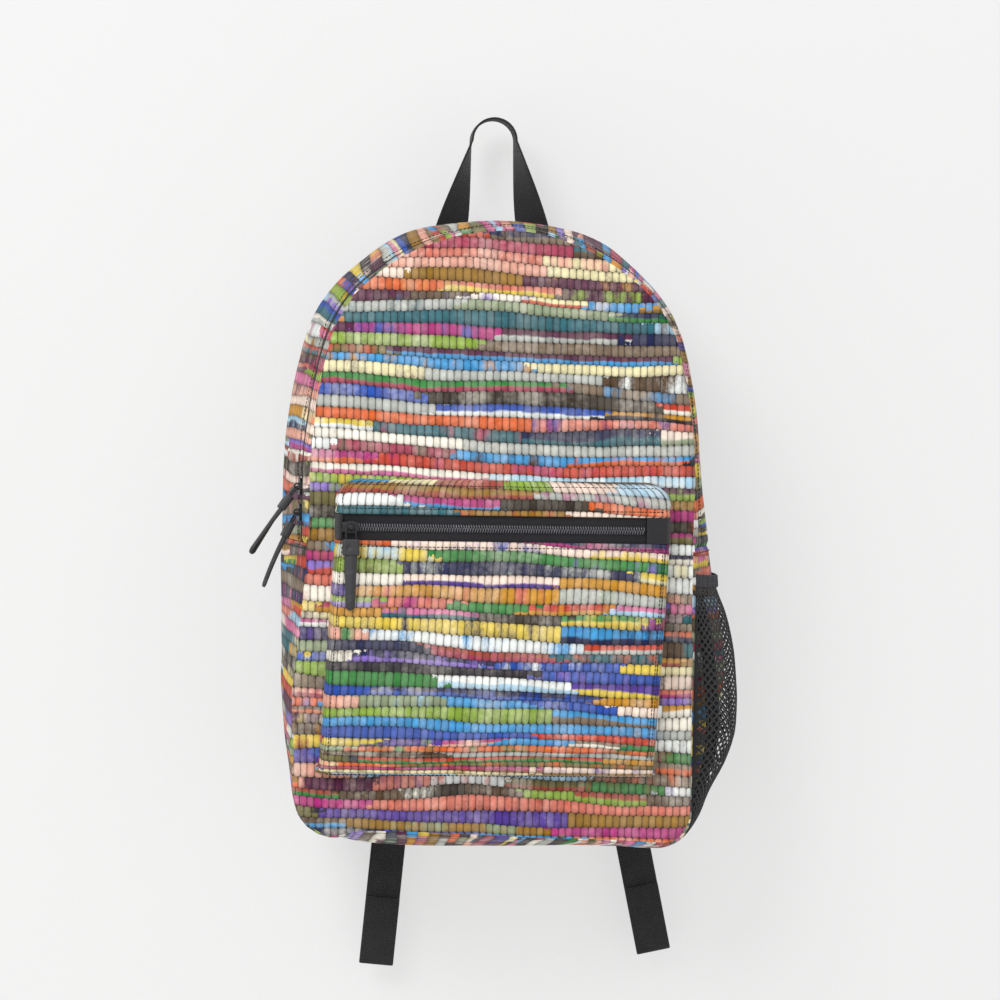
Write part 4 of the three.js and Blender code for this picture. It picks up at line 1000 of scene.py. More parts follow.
def creases(x, z):
    """Pinched lines where the cloth is gathered over the pocket's floor."""
    depth = np.zeros(np.broadcast(x, z).shape)
    for x0, z0, x1, z1 in CREASES:
        run_x = x1 - x0
        run_z = z1 - z0
        length = math.hypot(run_x, run_z)
        along = ((x - x0) * run_x + (z - z0) * run_z) / length**2
        bow = CREASE_BOW * np.sin(math.pi * np.clip(along, 0, 1))
        aside = ((x - x0) * run_z - (z - z0) * run_x) / length + bow
        ends = np.clip(4 * along, 0, 1) * np.clip(4 * (1 - along), 0, 1)
        depth = np.maximum(depth, ends * bump(aside, CREASE_WIDTH))
    return CREASE_DEPTH * depth


def folds(x, z):
    """Loose upright folds where the pocket's face hangs over its floor."""
    rise = z - POCKET_BOTTOM_Z
    waves = np.sin(x / 19 + 0.8 * np.sin(x / 31)) * np.cos(rise / 8)
    return FOLD_HEIGHT * bump(rise - FOLD_RISE, FOLD_REACH) * waves


def pocket_cloth(part, grid, heights, row, v):
    """A panel of the pocket, whose print runs along a row. Returns its face and the ways out of it."""
    outer = lifted(grid, heights)
    uv = spread(run_along(grid[row]) + POCKET_PRINT_U, v)
    obj = shell(f"pocket_{part}_cloth", outer, lifted(grid, -POCKET_CLOTH), uv, PRINT)
    dress(obj, "printed_cloth", f"pocket_{part}_panel")
    return outer, grid_normals(outer)


def pocket_front():
    """The pocket's front down to its tucked floor. Returns its lines of stitches."""
    lip = POCKET_ZIP_Z - POCKET_LIP
    even = np.linspace(lip - LIP_END, CREASED_Z, 56)
    creased = np.linspace(CREASED_Z, POCKET_FLOOR_RADIUS + POCKET_BOTTOM_Z, 36)[1:]
    z = np.concatenate((lip - np.array(LIP_ROWS), even, creased, POCKET_BOTTOM_Z + TUCK_RISE))[:, None]
    x = POCKET_COLUMNS
    tuck = len(z) - len(TUCK_RISE)
    share = np.ones(z.shape)
    share[tuck:, 0] = TUCK_SHARE
    way = (lip - z) / (lip - POCKET_BOTTOM_Z)
    face = POCKET_FACE_Y - POCKET_BELLY * np.sin(math.pi * way) ** 2
    grid = pouch(x, z, face, POCKET_HALF, share, POCKET_LEAN * way)

    to_stitch = np.minimum(np.abs(POCKET_HALF - STITCH_INSET - np.abs(x)), np.abs(lip - LIP_STITCH - z))
    edge = rolled(POCKET_HALF - np.abs(x), 12) * rolled(z - POCKET_BOTTOM_Z, 12)
    heights = (unevenness(grid, 13, POCKET_WAVES) + folds(x, z)) * edge
    heights = heights + sewn_dip(to_stitch, lip - z) - creases(x, z)
    gathered = 1 + GATHER_RATE / (1 + np.exp((z[:, 0] - GATHER_Z) / GATHER_SOFT))
    run = np.cumsum(steps_along(grid[:, FRONT_RUN_COLUMN]) * gathered)[:, None]
    outer, out = pocket_cloth("front", grid, heights, FRONT_RUN_ROW, POCKET_PRINT_V - run)

    # The floor's seam in thick black thread, partly a real seam and partly painted shade along the tuck
    floor = tuck + TUCK_LOWEST
    stitch_row("pocket_floor_seam", [(outer[floor, SEWN], out[floor, SEWN])], SHADE_LINE_THREAD)
    second = column_at(POCKET_HALF - SECOND_STITCH_INSET)
    sides = (LEFT_STITCH, second, RIGHT_STITCH)
    lines = [(outer[LIP_ROW:tuck, c], out[LIP_ROW:tuck, c]) for c in sides]
    return lines + [(outer[LIP_ROW, SEWN], out[LIP_ROW, SEWN])]


def pocket_top():
    """The pocket's top panel over its zip. Returns its lines of stitches."""
    lip = POCKET_ZIP_Z + POCKET_LIP
    lip_top = lip + POCKET_TAPE_LAP + POCKET_CLOTH
    ways = np.concatenate((np.linspace(0, 0.8, 24), (0.84, 0.88, 0.92, 0.95, 0.97, 0.985, 1)))
    z = np.concatenate((lip + np.array(LIP_ROWS), lip_top + ways * (POCKET_TOP_Z - lip_top)))[:, None]
    share = np.concatenate((np.ones(len(LIP_ROWS)), 1 - ways))[:, None]
    past = np.maximum(0, z - (POCKET_TOP_Z - POCKET_CORNER_RADIUS))
    half = POCKET_HALF - POCKET_CORNER_RADIUS
    half = half + np.sqrt(np.maximum(0, POCKET_CORNER_RADIUS**2 - past**2))
    x = POCKET_COLUMNS * half / POCKET_HALF
    grid = pouch(x, z, POCKET_FACE_Y, half, share)
    inside = half - np.abs(x)
    under = POCKET_TOP_Z - z

    crown = np.sqrt(np.maximum(0, 1 - share)) * share * TOP_CROWN
    heights = (unevenness(grid, 16, TOP_WAVES) + crown) * rolled(inside, 10) * rolled(under, 8)
    in_edge = np.abs(np.minimum(inside, under) - STITCH_INSET)
    heights = heights + sewn_dip(np.minimum(np.abs(z - lip - LIP_STITCH), in_edge), z - lip)
    outer, out = pocket_cloth("top", grid, heights, LIP_ROW, z + TOP_PRINT_V)
    row = int(np.argmin(np.abs(under - STITCH_INSET)))

    def around(rows):
        sides = rows[LIP_ROW:row, LEFT_STITCH], rows[row : LIP_ROW - 1 : -1, RIGHT_STITCH]
        return np.concatenate((sides[0], rows[row, SEWN], sides[1]))

    return [(around(outer), around(out)), (outer[LIP_ROW, SEWN], out[LIP_ROW, SEWN])]


def pocket_ends():
    """Tabs over the two ends of the pocket's zip."""
    reach = POCKET_LIP - GAP
    z = np.linspace(POCKET_ZIP_Z - reach, POCKET_ZIP_Z + reach, 14)[:, None]
    for name, side, tab in (("left", -1, LEFT_TAB), ("right", 1, RIGHT_TAB)):
        edge = EDGE_STATIONS[EDGE_STATIONS < tab - 1]
        inside = np.concatenate((edge, np.linspace(edge[-1], tab, 7)[1:]))
        x = side * (POCKET_HALF - inside)
        grid = pouch(x, z, POCKET_FACE_Y, POCKET_HALF, 1)
        outer = lifted(grid, unevenness(grid, 19, TAB_WAVES) - 0.8 * (1 - rolled(tab - inside, 2)))
        tab_cloth = shell(f"pocket_zip_tab_{name}", outer, lifted(grid, -TAB_CLOTH), spread(x, z), BLACK)
        dress(tab_cloth, "black_cloth", f"pocket_zip_end_{name}")


# Net side pocket

NET_START = BASE_HALF + CORNER_RADIUS * math.pi / 4
NET_END = side_distance(NET_TOP_Z)
NET_COLUMNS = 34
NET_ROWS = 64
NET_OPEN = 0.76
NET_SMOOTH = 0.04
PLEAT_FIRST = 0.09
PLEAT_LAST = 0.2
PLEAT_LAYERS = (1.8, 3.4)
PLEAT_SHIFT = 0.01
PLEAT_COLUMNS = 8
BINDING_EDGE = np.array((0, 0.3, 0.9, 1.8))
BINDING_GATHER = 0.35
NET_DEPTHS = np.concatenate(
    (
        np.linspace(FRONT_Y + NET_SIDE_MARGIN, FRONT_Y + FRONT_TAPER, 6),
        (BACK_Y - BACK_ROLL, BACK_Y - NET_SIDE_MARGIN),
    )
)


def net_lift(across, way):
    """How far the net stands off the gusset: a belly whose height follows a smoothed profile."""
    belly = np.sqrt(np.maximum(0, 1 - (2 * across - 1) ** 2))
    shifts = (-NET_SMOOTH, 0, 0, NET_SMOOTH)
    profile = sum(np.interp(way + shift, NET_WAYS, NET_LIFTS) for shift in shifts) / len(shifts)
    return GAP + belly * profile


def net_depth(across):
    return np.interp(across, np.linspace(0, 1, len(NET_DEPTHS)), NET_DEPTHS)


def mouth_sag(across):
    return NET_MOUTH_SAG * np.sin(math.pi * across)


def net_points(across, way, inset):
    """Points of the net by the shares across and up it, set in from its outer face."""
    reach = NET_END - NET_START - mouth_sag(across)
    ring = outline(NET_START + reach * way)
    y = net_depth(across)
    out = net_lift(across, way) + NET_CLOTH - inset
    out = out[:, None] - inset_at(y[:, None], ring) + swell_at(y[:, None], ring)
    flat = ring[:, :2] + ring[:, 2:] * out
    return spread(flat[:, 0], y, flat[:, 1])


def even_across(share):
    """The share across the net at an even share of its girth, so that its cells are alike."""
    across = np.linspace(0, 1, 400)
    run = run_along(net_points(across, np.full(len(across), 0.5), 0))
    return np.interp(share, run / run[-1], across)


def diamond(i, j, reach):
    return [(i - reach, j), (i, j - reach), (i + reach, j), (i, j + reach)]


def net_mesh(name, columns, first, last, depth):
    """One closed net: each diamond between four crossings has a smaller diamond cut out of it."""
    faces = []
    numbers = {}

    def vertex(place, side):
        return numbers.setdefault((*place, side), len(numbers))

    def skins(*places):
        faces.append([vertex(p, 0) for p in places])
        faces.append([vertex(p, 1) for p in reversed(places)])

    def wall(a, b):
        faces.append([vertex(a, 1), vertex(b, 1), vertex(b, 0), vertex(a, 0)])

    for i in range(columns + 1):
        for j in range(NET_ROWS + 1):
            if (i + j) % 2 == 0:
                continue
            left, low, right, high = corners = diamond(i, j, 1)
            if i == 0:
                skins(low, right, high)
                wall(high, low)
            elif i == columns:
                skins(left, low, high)
                wall(low, high)
            elif j == 0:
                skins(left, right, high)
                wall(left, right)
            elif j == NET_ROWS:
                skins(left, low, right)
                wall(right, left)
            else:
                hole = diamond(i, j, NET_OPEN)
                for k in range(4):
                    n = (k + 1) % 4
                    skins(corners[k], corners[n], hole[n], hole[k])
                    wall(hole[n], hole[k])
    places = np.array(list(numbers))
    across = even_across(first + (last - first) * places[:, 0] / columns)
    points = net_points(across, places[:, 1] / NET_ROWS, depth + places[:, 2] * NET_CLOTH)
    return mesh_object(name, points, faces, NET, sharp=60)


def side_net():
    """The net's wall, and behind it the pleat where its slack is folded in."""
    dress(net_mesh("side_net_mesh", NET_COLUMNS, 0, 1, 0), "net", "side_net")
    for number, depth in enumerate(PLEAT_LAYERS):
        first = PLEAT_FIRST + PLEAT_SHIFT * number
        last = PLEAT_LAST + PLEAT_SHIFT * number
        dress(net_mesh(f"side_net_pleat_{number}", PLEAT_COLUMNS, first, last, depth), "net")


def sagged(distances, depths, across, lift):
    """A grid over the gusset whose columns hang down as the net's mouth does."""
    columns = []
    for k, sag in enumerate(mouth_sag(across)):
        columns.append(gusset(distances - sag, depths[k : k + 1], lift[:, k : k + 1])[:, 0])
    return np.stack(columns, axis=1)


def net_binding():
    middle = np.linspace(BINDING_EDGE[-1], BINDING_HEIGHT - BINDING_EDGE[-1], 6)
    up = np.concatenate((BINDING_EDGE[:-1], middle, BINDING_HEIGHT - BINDING_EDGE[-2::-1]))
    distances = NET_END + GAP + up
    across = np.linspace(0, 1, 120)
    depths = net_depth(across)
    lift = net_lift(across, 1.0)[None, :]
    round_edge = 0.8 * (1 - rolled(np.minimum(up, BINDING_HEIGHT - up), 1.2))[:, None]
    gathers = BINDING_GATHER * np.sin(across * 70)
    outer = sagged(distances, depths, across, lift + BINDING_CLOTH - round_edge + gathers)
    inner = sagged(distances, depths, across, lift)
    uv = spread(run_along(outer[0]), distances[:, None])
    dress(shell("side_net_elastic", outer, inner, uv, ELASTIC), "black_cloth", "side_net_binding")


# Sliders and pulls

FLAT_ANGLE = math.radians(2)
BEVEL_ANGLE = math.radians(35)
PULL_SECTION = np.concatenate(((-1, -0.985, -0.94), np.linspace(-0.86, 0.86, 17), (0.94, 0.985, 1)))
PULL_RIDGE = 0.55
RIDGE_PLACE = 0.15
# How far in from the ends of the head a ring lies, and how much smaller it is there
HEAD_TOP_RINGS = ((0, 0.8), (0.3, 0.35), (0.8, 0.1))
HEAD_LOW_RINGS = ((0.6, 0.1), (0.2, 0.35), (0, 0.8))
HEAD_EVEN = 1.5
DIMPLE_DEPTH = 0.8
DIMPLE_RADIUS = 1.5
DIMPLE_X = -1.6
# How far each tongue droops, in millimetres, and turns at its tip
POCKET_PULL_HANG = (0.8, math.radians(-8))
UPPER_PULL_HANG = (1, math.radians(40))
LOWER_PULL_HANG = (2.5, math.radians(12))


def apply_modifiers(obj):
    bpy.context.view_layer.update()
    evaluated = obj.evaluated_get(bpy.context.evaluated_depsgraph_get())
    mesh = bpy.data.meshes.new_from_object(evaluated)
    obj.modifiers.clear()
    obj.data = mesh


def softened(node, name, material, width, segments=2):
    """A copy of a solid with its edges rounded off."""
    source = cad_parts[node].data
    mesh = bpy.data.meshes.new(name)
    places = [tuple(v.co) for v in source.vertices]
    mesh.from_pydata(places, [], [tuple(p.vertices) for p in source.polygons])
    clean(mesh, 1e-5, FLAT_ANGLE)
    mesh.materials.append(material)
    obj = linked(name, mesh)
    bevel = obj.modifiers.new("round", "BEVEL")
    bevel.width = width / 1000
    bevel.segments = segments
    bevel.limit_method = "ANGLE"
    bevel.angle_limit = BEVEL_ANGLE
    apply_modifiers(obj)
    smooth(obj.data)
    return obj


def dimple(distance):
    return np.exp(-((distance / DIMPLE_RADIUS) ** 4))


def pull_ring(y, width, thickness, ridge, dent=0):
    """A cross-section of a pull: rounded corners, a ridge on the tongue and a dimple in the head."""
    a = PULL_SECTION
    corner = thickness / 2 * (1 - np.abs(a) ** 10) ** 0.4
    slope = 1 - ridge * np.abs(a - RIDGE_PLACE) / (1 + RIDGE_PLACE)
    top = corner * slope - dent * dimple(a * width / 2 - DIMPLE_X)
    upper = spread(a * width / 2, y, top)
    lower = spread(a * width / 2, y, -corner)
    return np.concatenate((upper, lower[-2:0:-1]))


def pull_rings():
    """Cross-sections of one moulding: a block that grips the bail, and a ridged tongue."""
    top = -BAIL_LENGTH - GAP
    low = top - PULL_HEAD_HEIGHT
    head = [(top - inset, shrink) for inset, shrink in HEAD_TOP_RINGS]
    head += [(y, 0) for y in np.linspace(top - HEAD_EVEN, low + HEAD_EVEN, 13)]
    head += [(low + inset, shrink) for inset, shrink in HEAD_LOW_RINGS]
    rings = []
    for y, shrink in head:
        dent = DIMPLE_DEPTH * dimple(y - (top + low) / 2)
        rings.append(pull_ring(y, PULL_HEAD_WIDTH - shrink, PULL_HEAD_THICKNESS - shrink, 0, dent))
    tip = PULL_TIP_WIDTH / 2
    length = PULL_LENGTH - tip
    for way in np.linspace(0, 1, 14):
        width = PULL_WIDTH + (PULL_TIP_WIDTH - PULL_WIDTH) * way
        rings.append(pull_ring(low - 0.05 - length * way, width, PULL_THICKNESS, PULL_RIDGE))
    for turn in np.radians((20, 40, 60, 75, 86)):
        width = PULL_TIP_WIDTH * math.cos(turn)
        thick = PULL_THICKNESS * (0.35 + 0.65 * math.cos(turn))
        rings.append(pull_ring(low - length - tip * math.sin(turn), width, thick, PULL_RIDGE))
    return np.array(rings), low


def pull(name, node, body, place, droop, twist):
    """A soft pull whose tongue droops and turns on its way to the tip."""
    rings, low = pull_rings()
    x, y, z = np.moveaxis(rings, -1, 0)
    way = np.clip((low - y) / PULL_LENGTH, 0, 1)
    turn = twist * way
    turned_x = x * np.cos(turn) - z * np.sin(turn)
    turned_z = x * np.sin(turn) + z * np.cos(turn) - droop * way**2
    points = moved(place, spread(turned_x, y, turned_z).reshape(-1, 3))
    obj = loft(name, points.reshape(rings.shape), RUBBER, sharp=28)
    dress(obj, "pull_rubber", node, body=body)


def side_pull_place(rise, lift):
    """Where a pull of the main zip hangs, by how far its slider is over the zip's end."""
    place, along, across, out = zip_frame(OUTLINE_LENGTH - ZIP_END - rise)
    holder = Matrix((along, across, out)).transposed().to_4x4()
    holder.translation = Vector(place + out * COIL_TOP_LIFT)
    hang = Matrix.Rotation(-math.pi / 2, 4, "Z") @ Matrix.Rotation(-lift, 4, "X")
    return holder @ Matrix.Translation((0, 0, EYE_HEIGHT)) @ hang


def pocket_pull_place():
    place = Matrix.Translation((POCKET_SLIDER_X, POCKET_COIL_Y, POCKET_ZIP_Z))
    place = place @ Matrix.Rotation(math.pi / 2, 4, "X") @ Matrix.Translation((0, 0, EYE_HEIGHT))
    return place @ Matrix.Rotation(-POCKET_PULL_LIFT, 4, "X")


def zip_pulls():
    pulls = (
        ("pocket_zip", "pocket", pocket_pull_place(), POCKET_PULL_HANG),
        ("main_zip_upper", "upper", side_pull_place(UPPER_SLIDER_RISE, UPPER_PULL_LIFT), UPPER_PULL_HANG),
        ("main_zip_lower", "lower", side_pull_place(LOWER_SLIDER_RISE, LOWER_PULL_LIFT), LOWER_PULL_HANG),
    )
    for name, body, place, hang in pulls:
        slider = softened(f"{name}_slider", f"{name}_slider_casting", METAL, 0.28)
        dress(slider, "slider_metal", f"{name}_slider", body=f"{body}_slider")
        bail = softened(f"{name}_bail", f"{name}_bail_wire", METAL, 0.2)
        dress(bail, "slider_metal", f"{name}_bail", body=f"{body}_pull")
        pull(f"{name}_pull_moulding", f"{name}_pull", f"{body}_pull", place, *hang)


# Webbing

RIBBON_HALF = np.array(
    (
        (-1, 0), (-0.985, 0.55), (-0.94, 0.92), (-0.88, 1), (-0.5, 1),
        (0, 1), (0.5, 1), (0.88, 1), (0.94, 0.92), (0.985, 0.55),
    )
)
RIBBON_SECTION = np.concatenate((RIBBON_HALF, -RIBBON_HALF))


def unit(way):
    return np.asarray(way, float) / np.linalg.norm(way)


def ribbon(name, stations, node, place=None):
    """A flat band with rounded selvedges along stations of centre, along and across."""
    a = RIBBON_SECTION[:, :1] * WEBBING_WIDTH / 2
    b = RIBBON_SECTION[:, 1:] * WEBBING_CLOTH / 2
    rings = []
    for centre, along, across in stations:
        across = unit(across)
        rings.append(np.asarray(centre, float) + across * a + np.cross(unit(along), across) * b)
    run = run_along(np.array([centre for centre, _, _ in stations], float))
    uv = spread(a[:, 0], run[:, None]).reshape(-1, 2)
    rings = np.array(rings)
    if place is not None:
        rings = moved(place, rings.reshape(-1, 3)).reshape(rings.shape)
    dress(loft(name, rings, WEBBING, uv), "webbing", node)


def haul_loop():
    foot_z = YOKE_TOP_Z + GAP
    bend_z = BAG_HEIGHT + LOOP_RISE
    lean = math.atan2(LOOP_FOOT_X - LOOP_RADIUS, bend_z - foot_z)

    def station(side, x, z, turn, steep):
        along = np.array((-side * math.sin(steep), 0, math.cos(steep))) * -side
        return (side * x, LOOP_Y, z), along, np.array((math.cos(turn), -side * math.sin(turn), 0))

    leg = []
    for z in np.linspace(foot_z, bend_z, 40):
        way = (z - foot_z) / (bend_z - foot_z)
        x = LOOP_FOOT_X + (LOOP_RADIUS - LOOP_FOOT_X) * way
        twist = max(0, (z - LOOP_TWIST_Z) / (bend_z - LOOP_TWIST_Z)) ** LOOP_TWIST_POWER
        upright = min(1, (z - foot_z) / (LOOP_TWIST_Z - foot_z))
        leg.append((x, z, math.pi / 2 * twist, lean * upright * (1 - way)))
    stations = [station(-1, *place) for place in leg]
    for turn in np.linspace(math.pi, 0, 26)[1:-1]:
        centre = (LOOP_RADIUS * math.cos(turn), LOOP_Y, bend_z + LOOP_RADIUS * math.sin(turn))
        stations.append((centre, (math.sin(turn), 0, -math.cos(turn)), (0, 1, 0)))
    for place in reversed(leg):
        centre, along, across = station(1, *place)
        stations.append((centre, along, -across))
    ribbon("haul_loop_webbing", stations, "haul_loop")


def half_turn(y, z, radius, start, direction, steps=14):
    stations = []
    for angle in np.linspace(0, math.pi, steps):
        turn = start + direction * angle
        centre = (0, y + radius * math.cos(turn), z + radius * math.sin(turn))
        along = (0, -direction * math.sin(turn), direction * math.cos(turn))
        stations.append((centre, along, (1, 0, 0)))
    return stations


def straight(y, start, end, steps=24):
    way = math.copysign(1, end - start)
    return [((0, y, z), (0, 0, way), (1, 0, 0)) for z in np.linspace(start, end, steps)]


def bezier(points, way):
    """Point and way along a cubic curve."""
    a, b, c, d = (np.asarray(p, float) for p in points)
    rest = 1 - way
    point = rest**3 * a + 3 * rest**2 * way * b + 3 * rest * way**2 * c + way**3 * d
    along = rest**2 * (b - a) + 2 * rest * way * (c - b) + way**2 * (d - c)
    return point, along / np.linalg.norm(along)


def climb(strap):
    """Stations from the wing up to the lock's bar, in the lock's own frame."""
    side = strap["side"]
    to_anchor = Vector((side * (ANCHOR_X - strap["x"]), 0, ANCHOR_Z - strap["z"]))
    foot = Matrix.Rotation(side * strap["lean"], 4, "Y") @ to_anchor
    curve = (
        (foot.x, -WRAP_RADIUS, foot.z),
        (foot.x * 0.7, -WRAP_RADIUS, foot.z * 0.7),
        (0, -WRAP_RADIUS, -LOCK_BAR - foot.length / 3),
        (0, -WRAP_RADIUS, -LOCK_BAR),
    )
    stations = []
    for way in np.linspace(0, 1, 30):
        point, along = bezier(curve, way)
        stations.append((point, along, (along[2], 0, -along[0])))
    return stations


def strap_webbing(strap):
    """The webbing through a ladder lock, with its folded tail, and what holds the two."""
    name = strap["name"]
    side = strap["side"]
    place = Matrix.Translation((side * strap["x"], LOCK_Y, strap["z"]))
    place = place @ Matrix.Rotation(-side * strap["lean"], 4, "Y")
    fold = WEBBING_CLOTH / 2 + GAP / 2
    tail_end = fold - strap["tail"]
    band = climb(strap) + half_turn(0, 0, WRAP_RADIUS, math.pi, -1)
    band += straight(WRAP_RADIUS, -LOCK_BAR, tail_end + 1, 50)
    band += half_turn(WRAP_RADIUS - fold, tail_end, fold, 0, -1)
    band += straight(WRAP_RADIUS - 2 * fold, tail_end + 1, tail_end + TAIL_FOLD)
    ribbon(f"strap_webbing_{name}_band", band, f"strap_webbing_{name}", place)
    loop = straight(-WRAP_RADIUS, STRAP_END_Z - GAP, TOP_BAR_Z + LOCK_BAR, 4)
    loop += half_turn(0, TOP_BAR_Z, WRAP_RADIUS, math.pi, 1)
    loop += straight(WRAP_RADIUS, TOP_BAR_Z + LOCK_BAR, STRAP_END_Z - GAP, 4)
    ribbon(f"lock_loop_{name}_band", loop, f"lock_loop_{name}", place)
    lock = softened(f"ladder_lock_{name}", f"ladder_lock_{name}_moulding", PLASTIC, 0.9, 3)
    dress(lock, "lock_plastic", f"ladder_lock_{name}")
    wing = softened(f"strap_wing_{name}", f"strap_wing_{name}_cloth", BLACK, 0.6)
    dress(wing, "black_cloth", f"strap_wing_{name}")


# Padded pieces

SIM_VOXEL = 0.005
SIM_FRAMES = 20
SIM_PRESSURE = 4
BACK_PAD_CAP = 2
STRAP_CAP = 1.5
# Inset from the outline and height over the back of each ring of the pad
BACK_PAD_RINGS = ((9, 0.2), (8.4, 3), (9, 5.5), (11, 7.4), (16, 8))
STRAP_SECTION = 28
STRAP_START_PAD = 8
STRAP_START_INSET = 2.5
BINDING_SECTION = 16
BINDING_HALF_WIDTH = 2.6
BINDING_HALF_DEPTH = 2.0
YOKE_STITCH_HALF = 71
YOKE_STITCH_INSET = 4


def vertex_places(mesh):
    places = np.zeros(len(mesh.vertices) * 3, np.float32)
    mesh.vertices.foreach_get("co", places)
    return places.reshape(-1, 3)


def run_cloth(obj, cap):
    """Swells a mesh as cloth under pressure. No point moves further than cap, in millimetres."""
    rest = vertex_places(obj.data)
    cloth = obj.modifiers.new("cloth", "CLOTH")
    cloth.settings.use_pressure = True
    cloth.settings.uniform_pressure_force = SIM_PRESSURE
    cloth.settings.effector_weights.gravity = 0
    cloth.point_cache.frame_end = SIM_FRAMES
    scene = bpy.context.scene
    for number in range(1, SIM_FRAMES + 1):
        scene.frame_set(number)
    evaluated = obj.evaluated_get(bpy.context.evaluated_depsgraph_get())
    shift = vertex_places(evaluated.data) - rest
    size = np.linalg.norm(shift, axis=1, keepdims=True)
    shift *= np.minimum(1, cap / 1000 / np.maximum(size, TINY))
    obj.modifiers.clear()
    obj.data.vertices.foreach_set("co", (rest + shift).astype(np.float32).ravel())
    scene.frame_set(1)


def inflate(obj, cap):
    """Makes a padded piece of a plain form: even faces, a short cloth run and a finer mesh."""
    remesh = obj.modifiers.new("remesh", "REMESH")
    remesh.mode = "VOXEL"
    remesh.voxel_size = SIM_VOXEL
    apply_modifiers(obj)
    run_cloth(obj, cap)
    finer = obj.modifiers.new("finer", "SUBSURF")
    finer.levels = 1
    apply_modifiers(obj)
    obj.data.shade_smooth()


def back_pad():
    x, z, nx, nz = outline(np.linspace(0, OUTLINE_LENGTH, 160, endpoint=False)).T
    rings = [spread(x - nx * inset, BACK_Y + y, z - nz * inset) for inset, y in BACK_PAD_RINGS]
    obj = loft("back_pad_cloth", rings, PAD_CLOTH)
    inflate(obj, BACK_PAD_CAP)
    dress(obj, "black_cloth", "back_panel")


def strap_frame(strap, way):
    """Centre, across and normal of a shoulder strap, and its width, by the share of its length."""
    side = strap["side"]
    lean = strap["lean"]
    top = (side * STRAP_TOP_X, BACK_FACE_Y + GAP + STRAP_PAD / 2, YOKE_BOTTOM_Z - GAP)
    end_x = side * (strap["x"] - STRAP_END_Z * math.sin(lean))
    end_z = strap["z"] + STRAP_END_Z * math.cos(lean)
    drop = top[2] - end_z
    out = (side * STRAP_TOP_X * 1.1, top[1] + STRAP_BOW, top[2] - drop * 0.38)
    back = (end_x - side * drop * 0.3 * math.sin(lean), LOCK_Y + STRAP_BOW, end_z + drop * 0.34)
    centre, along = bezier((top, out, back, (end_x, LOCK_Y, end_z)), way)
    normal = unit(np.cross(along, (1, 0, 0)))
    across = np.cross(normal, along)
    width = STRAP_WIDTH + (STRAP_END_WIDTH - STRAP_WIDTH) * way**1.5
    return centre, across, normal, width


def shoulder_strap(strap):
    """The pad of a strap, with a folded tape and a row of stitches along each edge."""
    name = f"shoulder_strap_{strap['name']}"
    turns = (np.arange(STRAP_SECTION) + 0.5) * 2 * math.pi / STRAP_SECTION
    section = np.stack((np.cos(turns), np.sin(turns)), axis=1)
    section = np.sign(section) * np.abs(section) ** 0.45
    rings = []
    edges = {-1: [], 1: []}
    for way in np.linspace(0, 1, 60):
        centre, across, normal, width = strap_frame(strap, way)
        a = section[:, :1] * (width / 2 - STRAP_START_INSET)
        b = section[:, 1:] * STRAP_START_PAD / 2
        rings.append(centre + across * a + normal * b)
        for edge, stations in edges.items():
            outward = across * edge
            stations.append((centre + outward * (width / 2 - BINDING_HALF_WIDTH), normal, outward))
    obj = loft(f"{name}_pad", rings, PAD_CLOTH)
    inflate(obj, STRAP_CAP)
    dress(obj, "black_cloth", name)
    lines = []
    for edge, stations in edges.items():
        which = "in" if edge * strap["side"] < 0 else "out"
        strap_binding(f"{name}_binding_{which}", stations)
        path = np.array([centre - outward * 0.6 + normal * 2.05 for centre, normal, outward in stations])
        lines.append((path, np.array([normal for _, normal, _ in stations])))
    stitch_row(f"{name}_stitching", lines)


def strap_binding(name, stations):
    """A folded tape over the sewn edge of a strap."""
    turns = np.arange(BINDING_SECTION)[:, None] * 2 * math.pi / BINDING_SECTION
    a = np.cos(turns) * BINDING_HALF_WIDTH
    b = np.sign(np.sin(turns)) * np.abs(np.sin(turns)) ** 0.6 * BINDING_HALF_DEPTH
    rings = [centre + outward * a + normal * b for centre, normal, outward in stations]
    dress(loft(name, rings, BLACK), "black_cloth")


def back_details():
    """The yoke over the straps' tops, stitched round."""
    yoke = softened("strap_yoke", "strap_yoke_cloth", BLACK, 0.8, 3)
    dress(yoke, "black_cloth", "strap_yoke")
    x = np.linspace(-YOKE_STITCH_HALF, YOKE_STITCH_HALF, 40)
    z = np.linspace(YOKE_BOTTOM_Z + YOKE_STITCH_INSET, YOKE_TOP_Z - YOKE_STITCH_INSET, 12)
    face = BACK_FACE_Y + GAP + YOKE_CLOTH
    paths = [spread(x, face, level) for level in (z[0], z[-1])]
    paths += [spread(place, face, z) for place in (x[0], x[-1])]
    stitch_row("strap_yoke_stitching", [(path, np.tile((0, 1, 0), (len(path), 1))) for path in paths])


# Stage, light and camera. Places of the stage and the lights are metres in the frame of the solids.

WALL_Y = 0.034
WALL_GLOW = 0.56
WALL_COLOURS = ("9a9a9a", "9e9e9e")
FLOOR_Z = -0.8
FLOOR_COLOURS = ("e6e6e4", "f0f0ee")
STAGE_REACH = 3
SKY_STRENGTH = 0.72
SKY_SEEN = "f2f2f2"
LIGHT_TARGET = (0, 0, -0.25)
CAMERA_YAW = math.radians(4.51)
CAMERA_PITCH = math.radians(1.94)
CAMERA_ROLL = math.radians(0.98)
CAMERA_DISTANCE = 2.5
PHOTO_WIDTH = 0.7101
SENSOR = 36
AIM = (3.2, 0, 244)
WHITE = (1, 1, 1, 1)


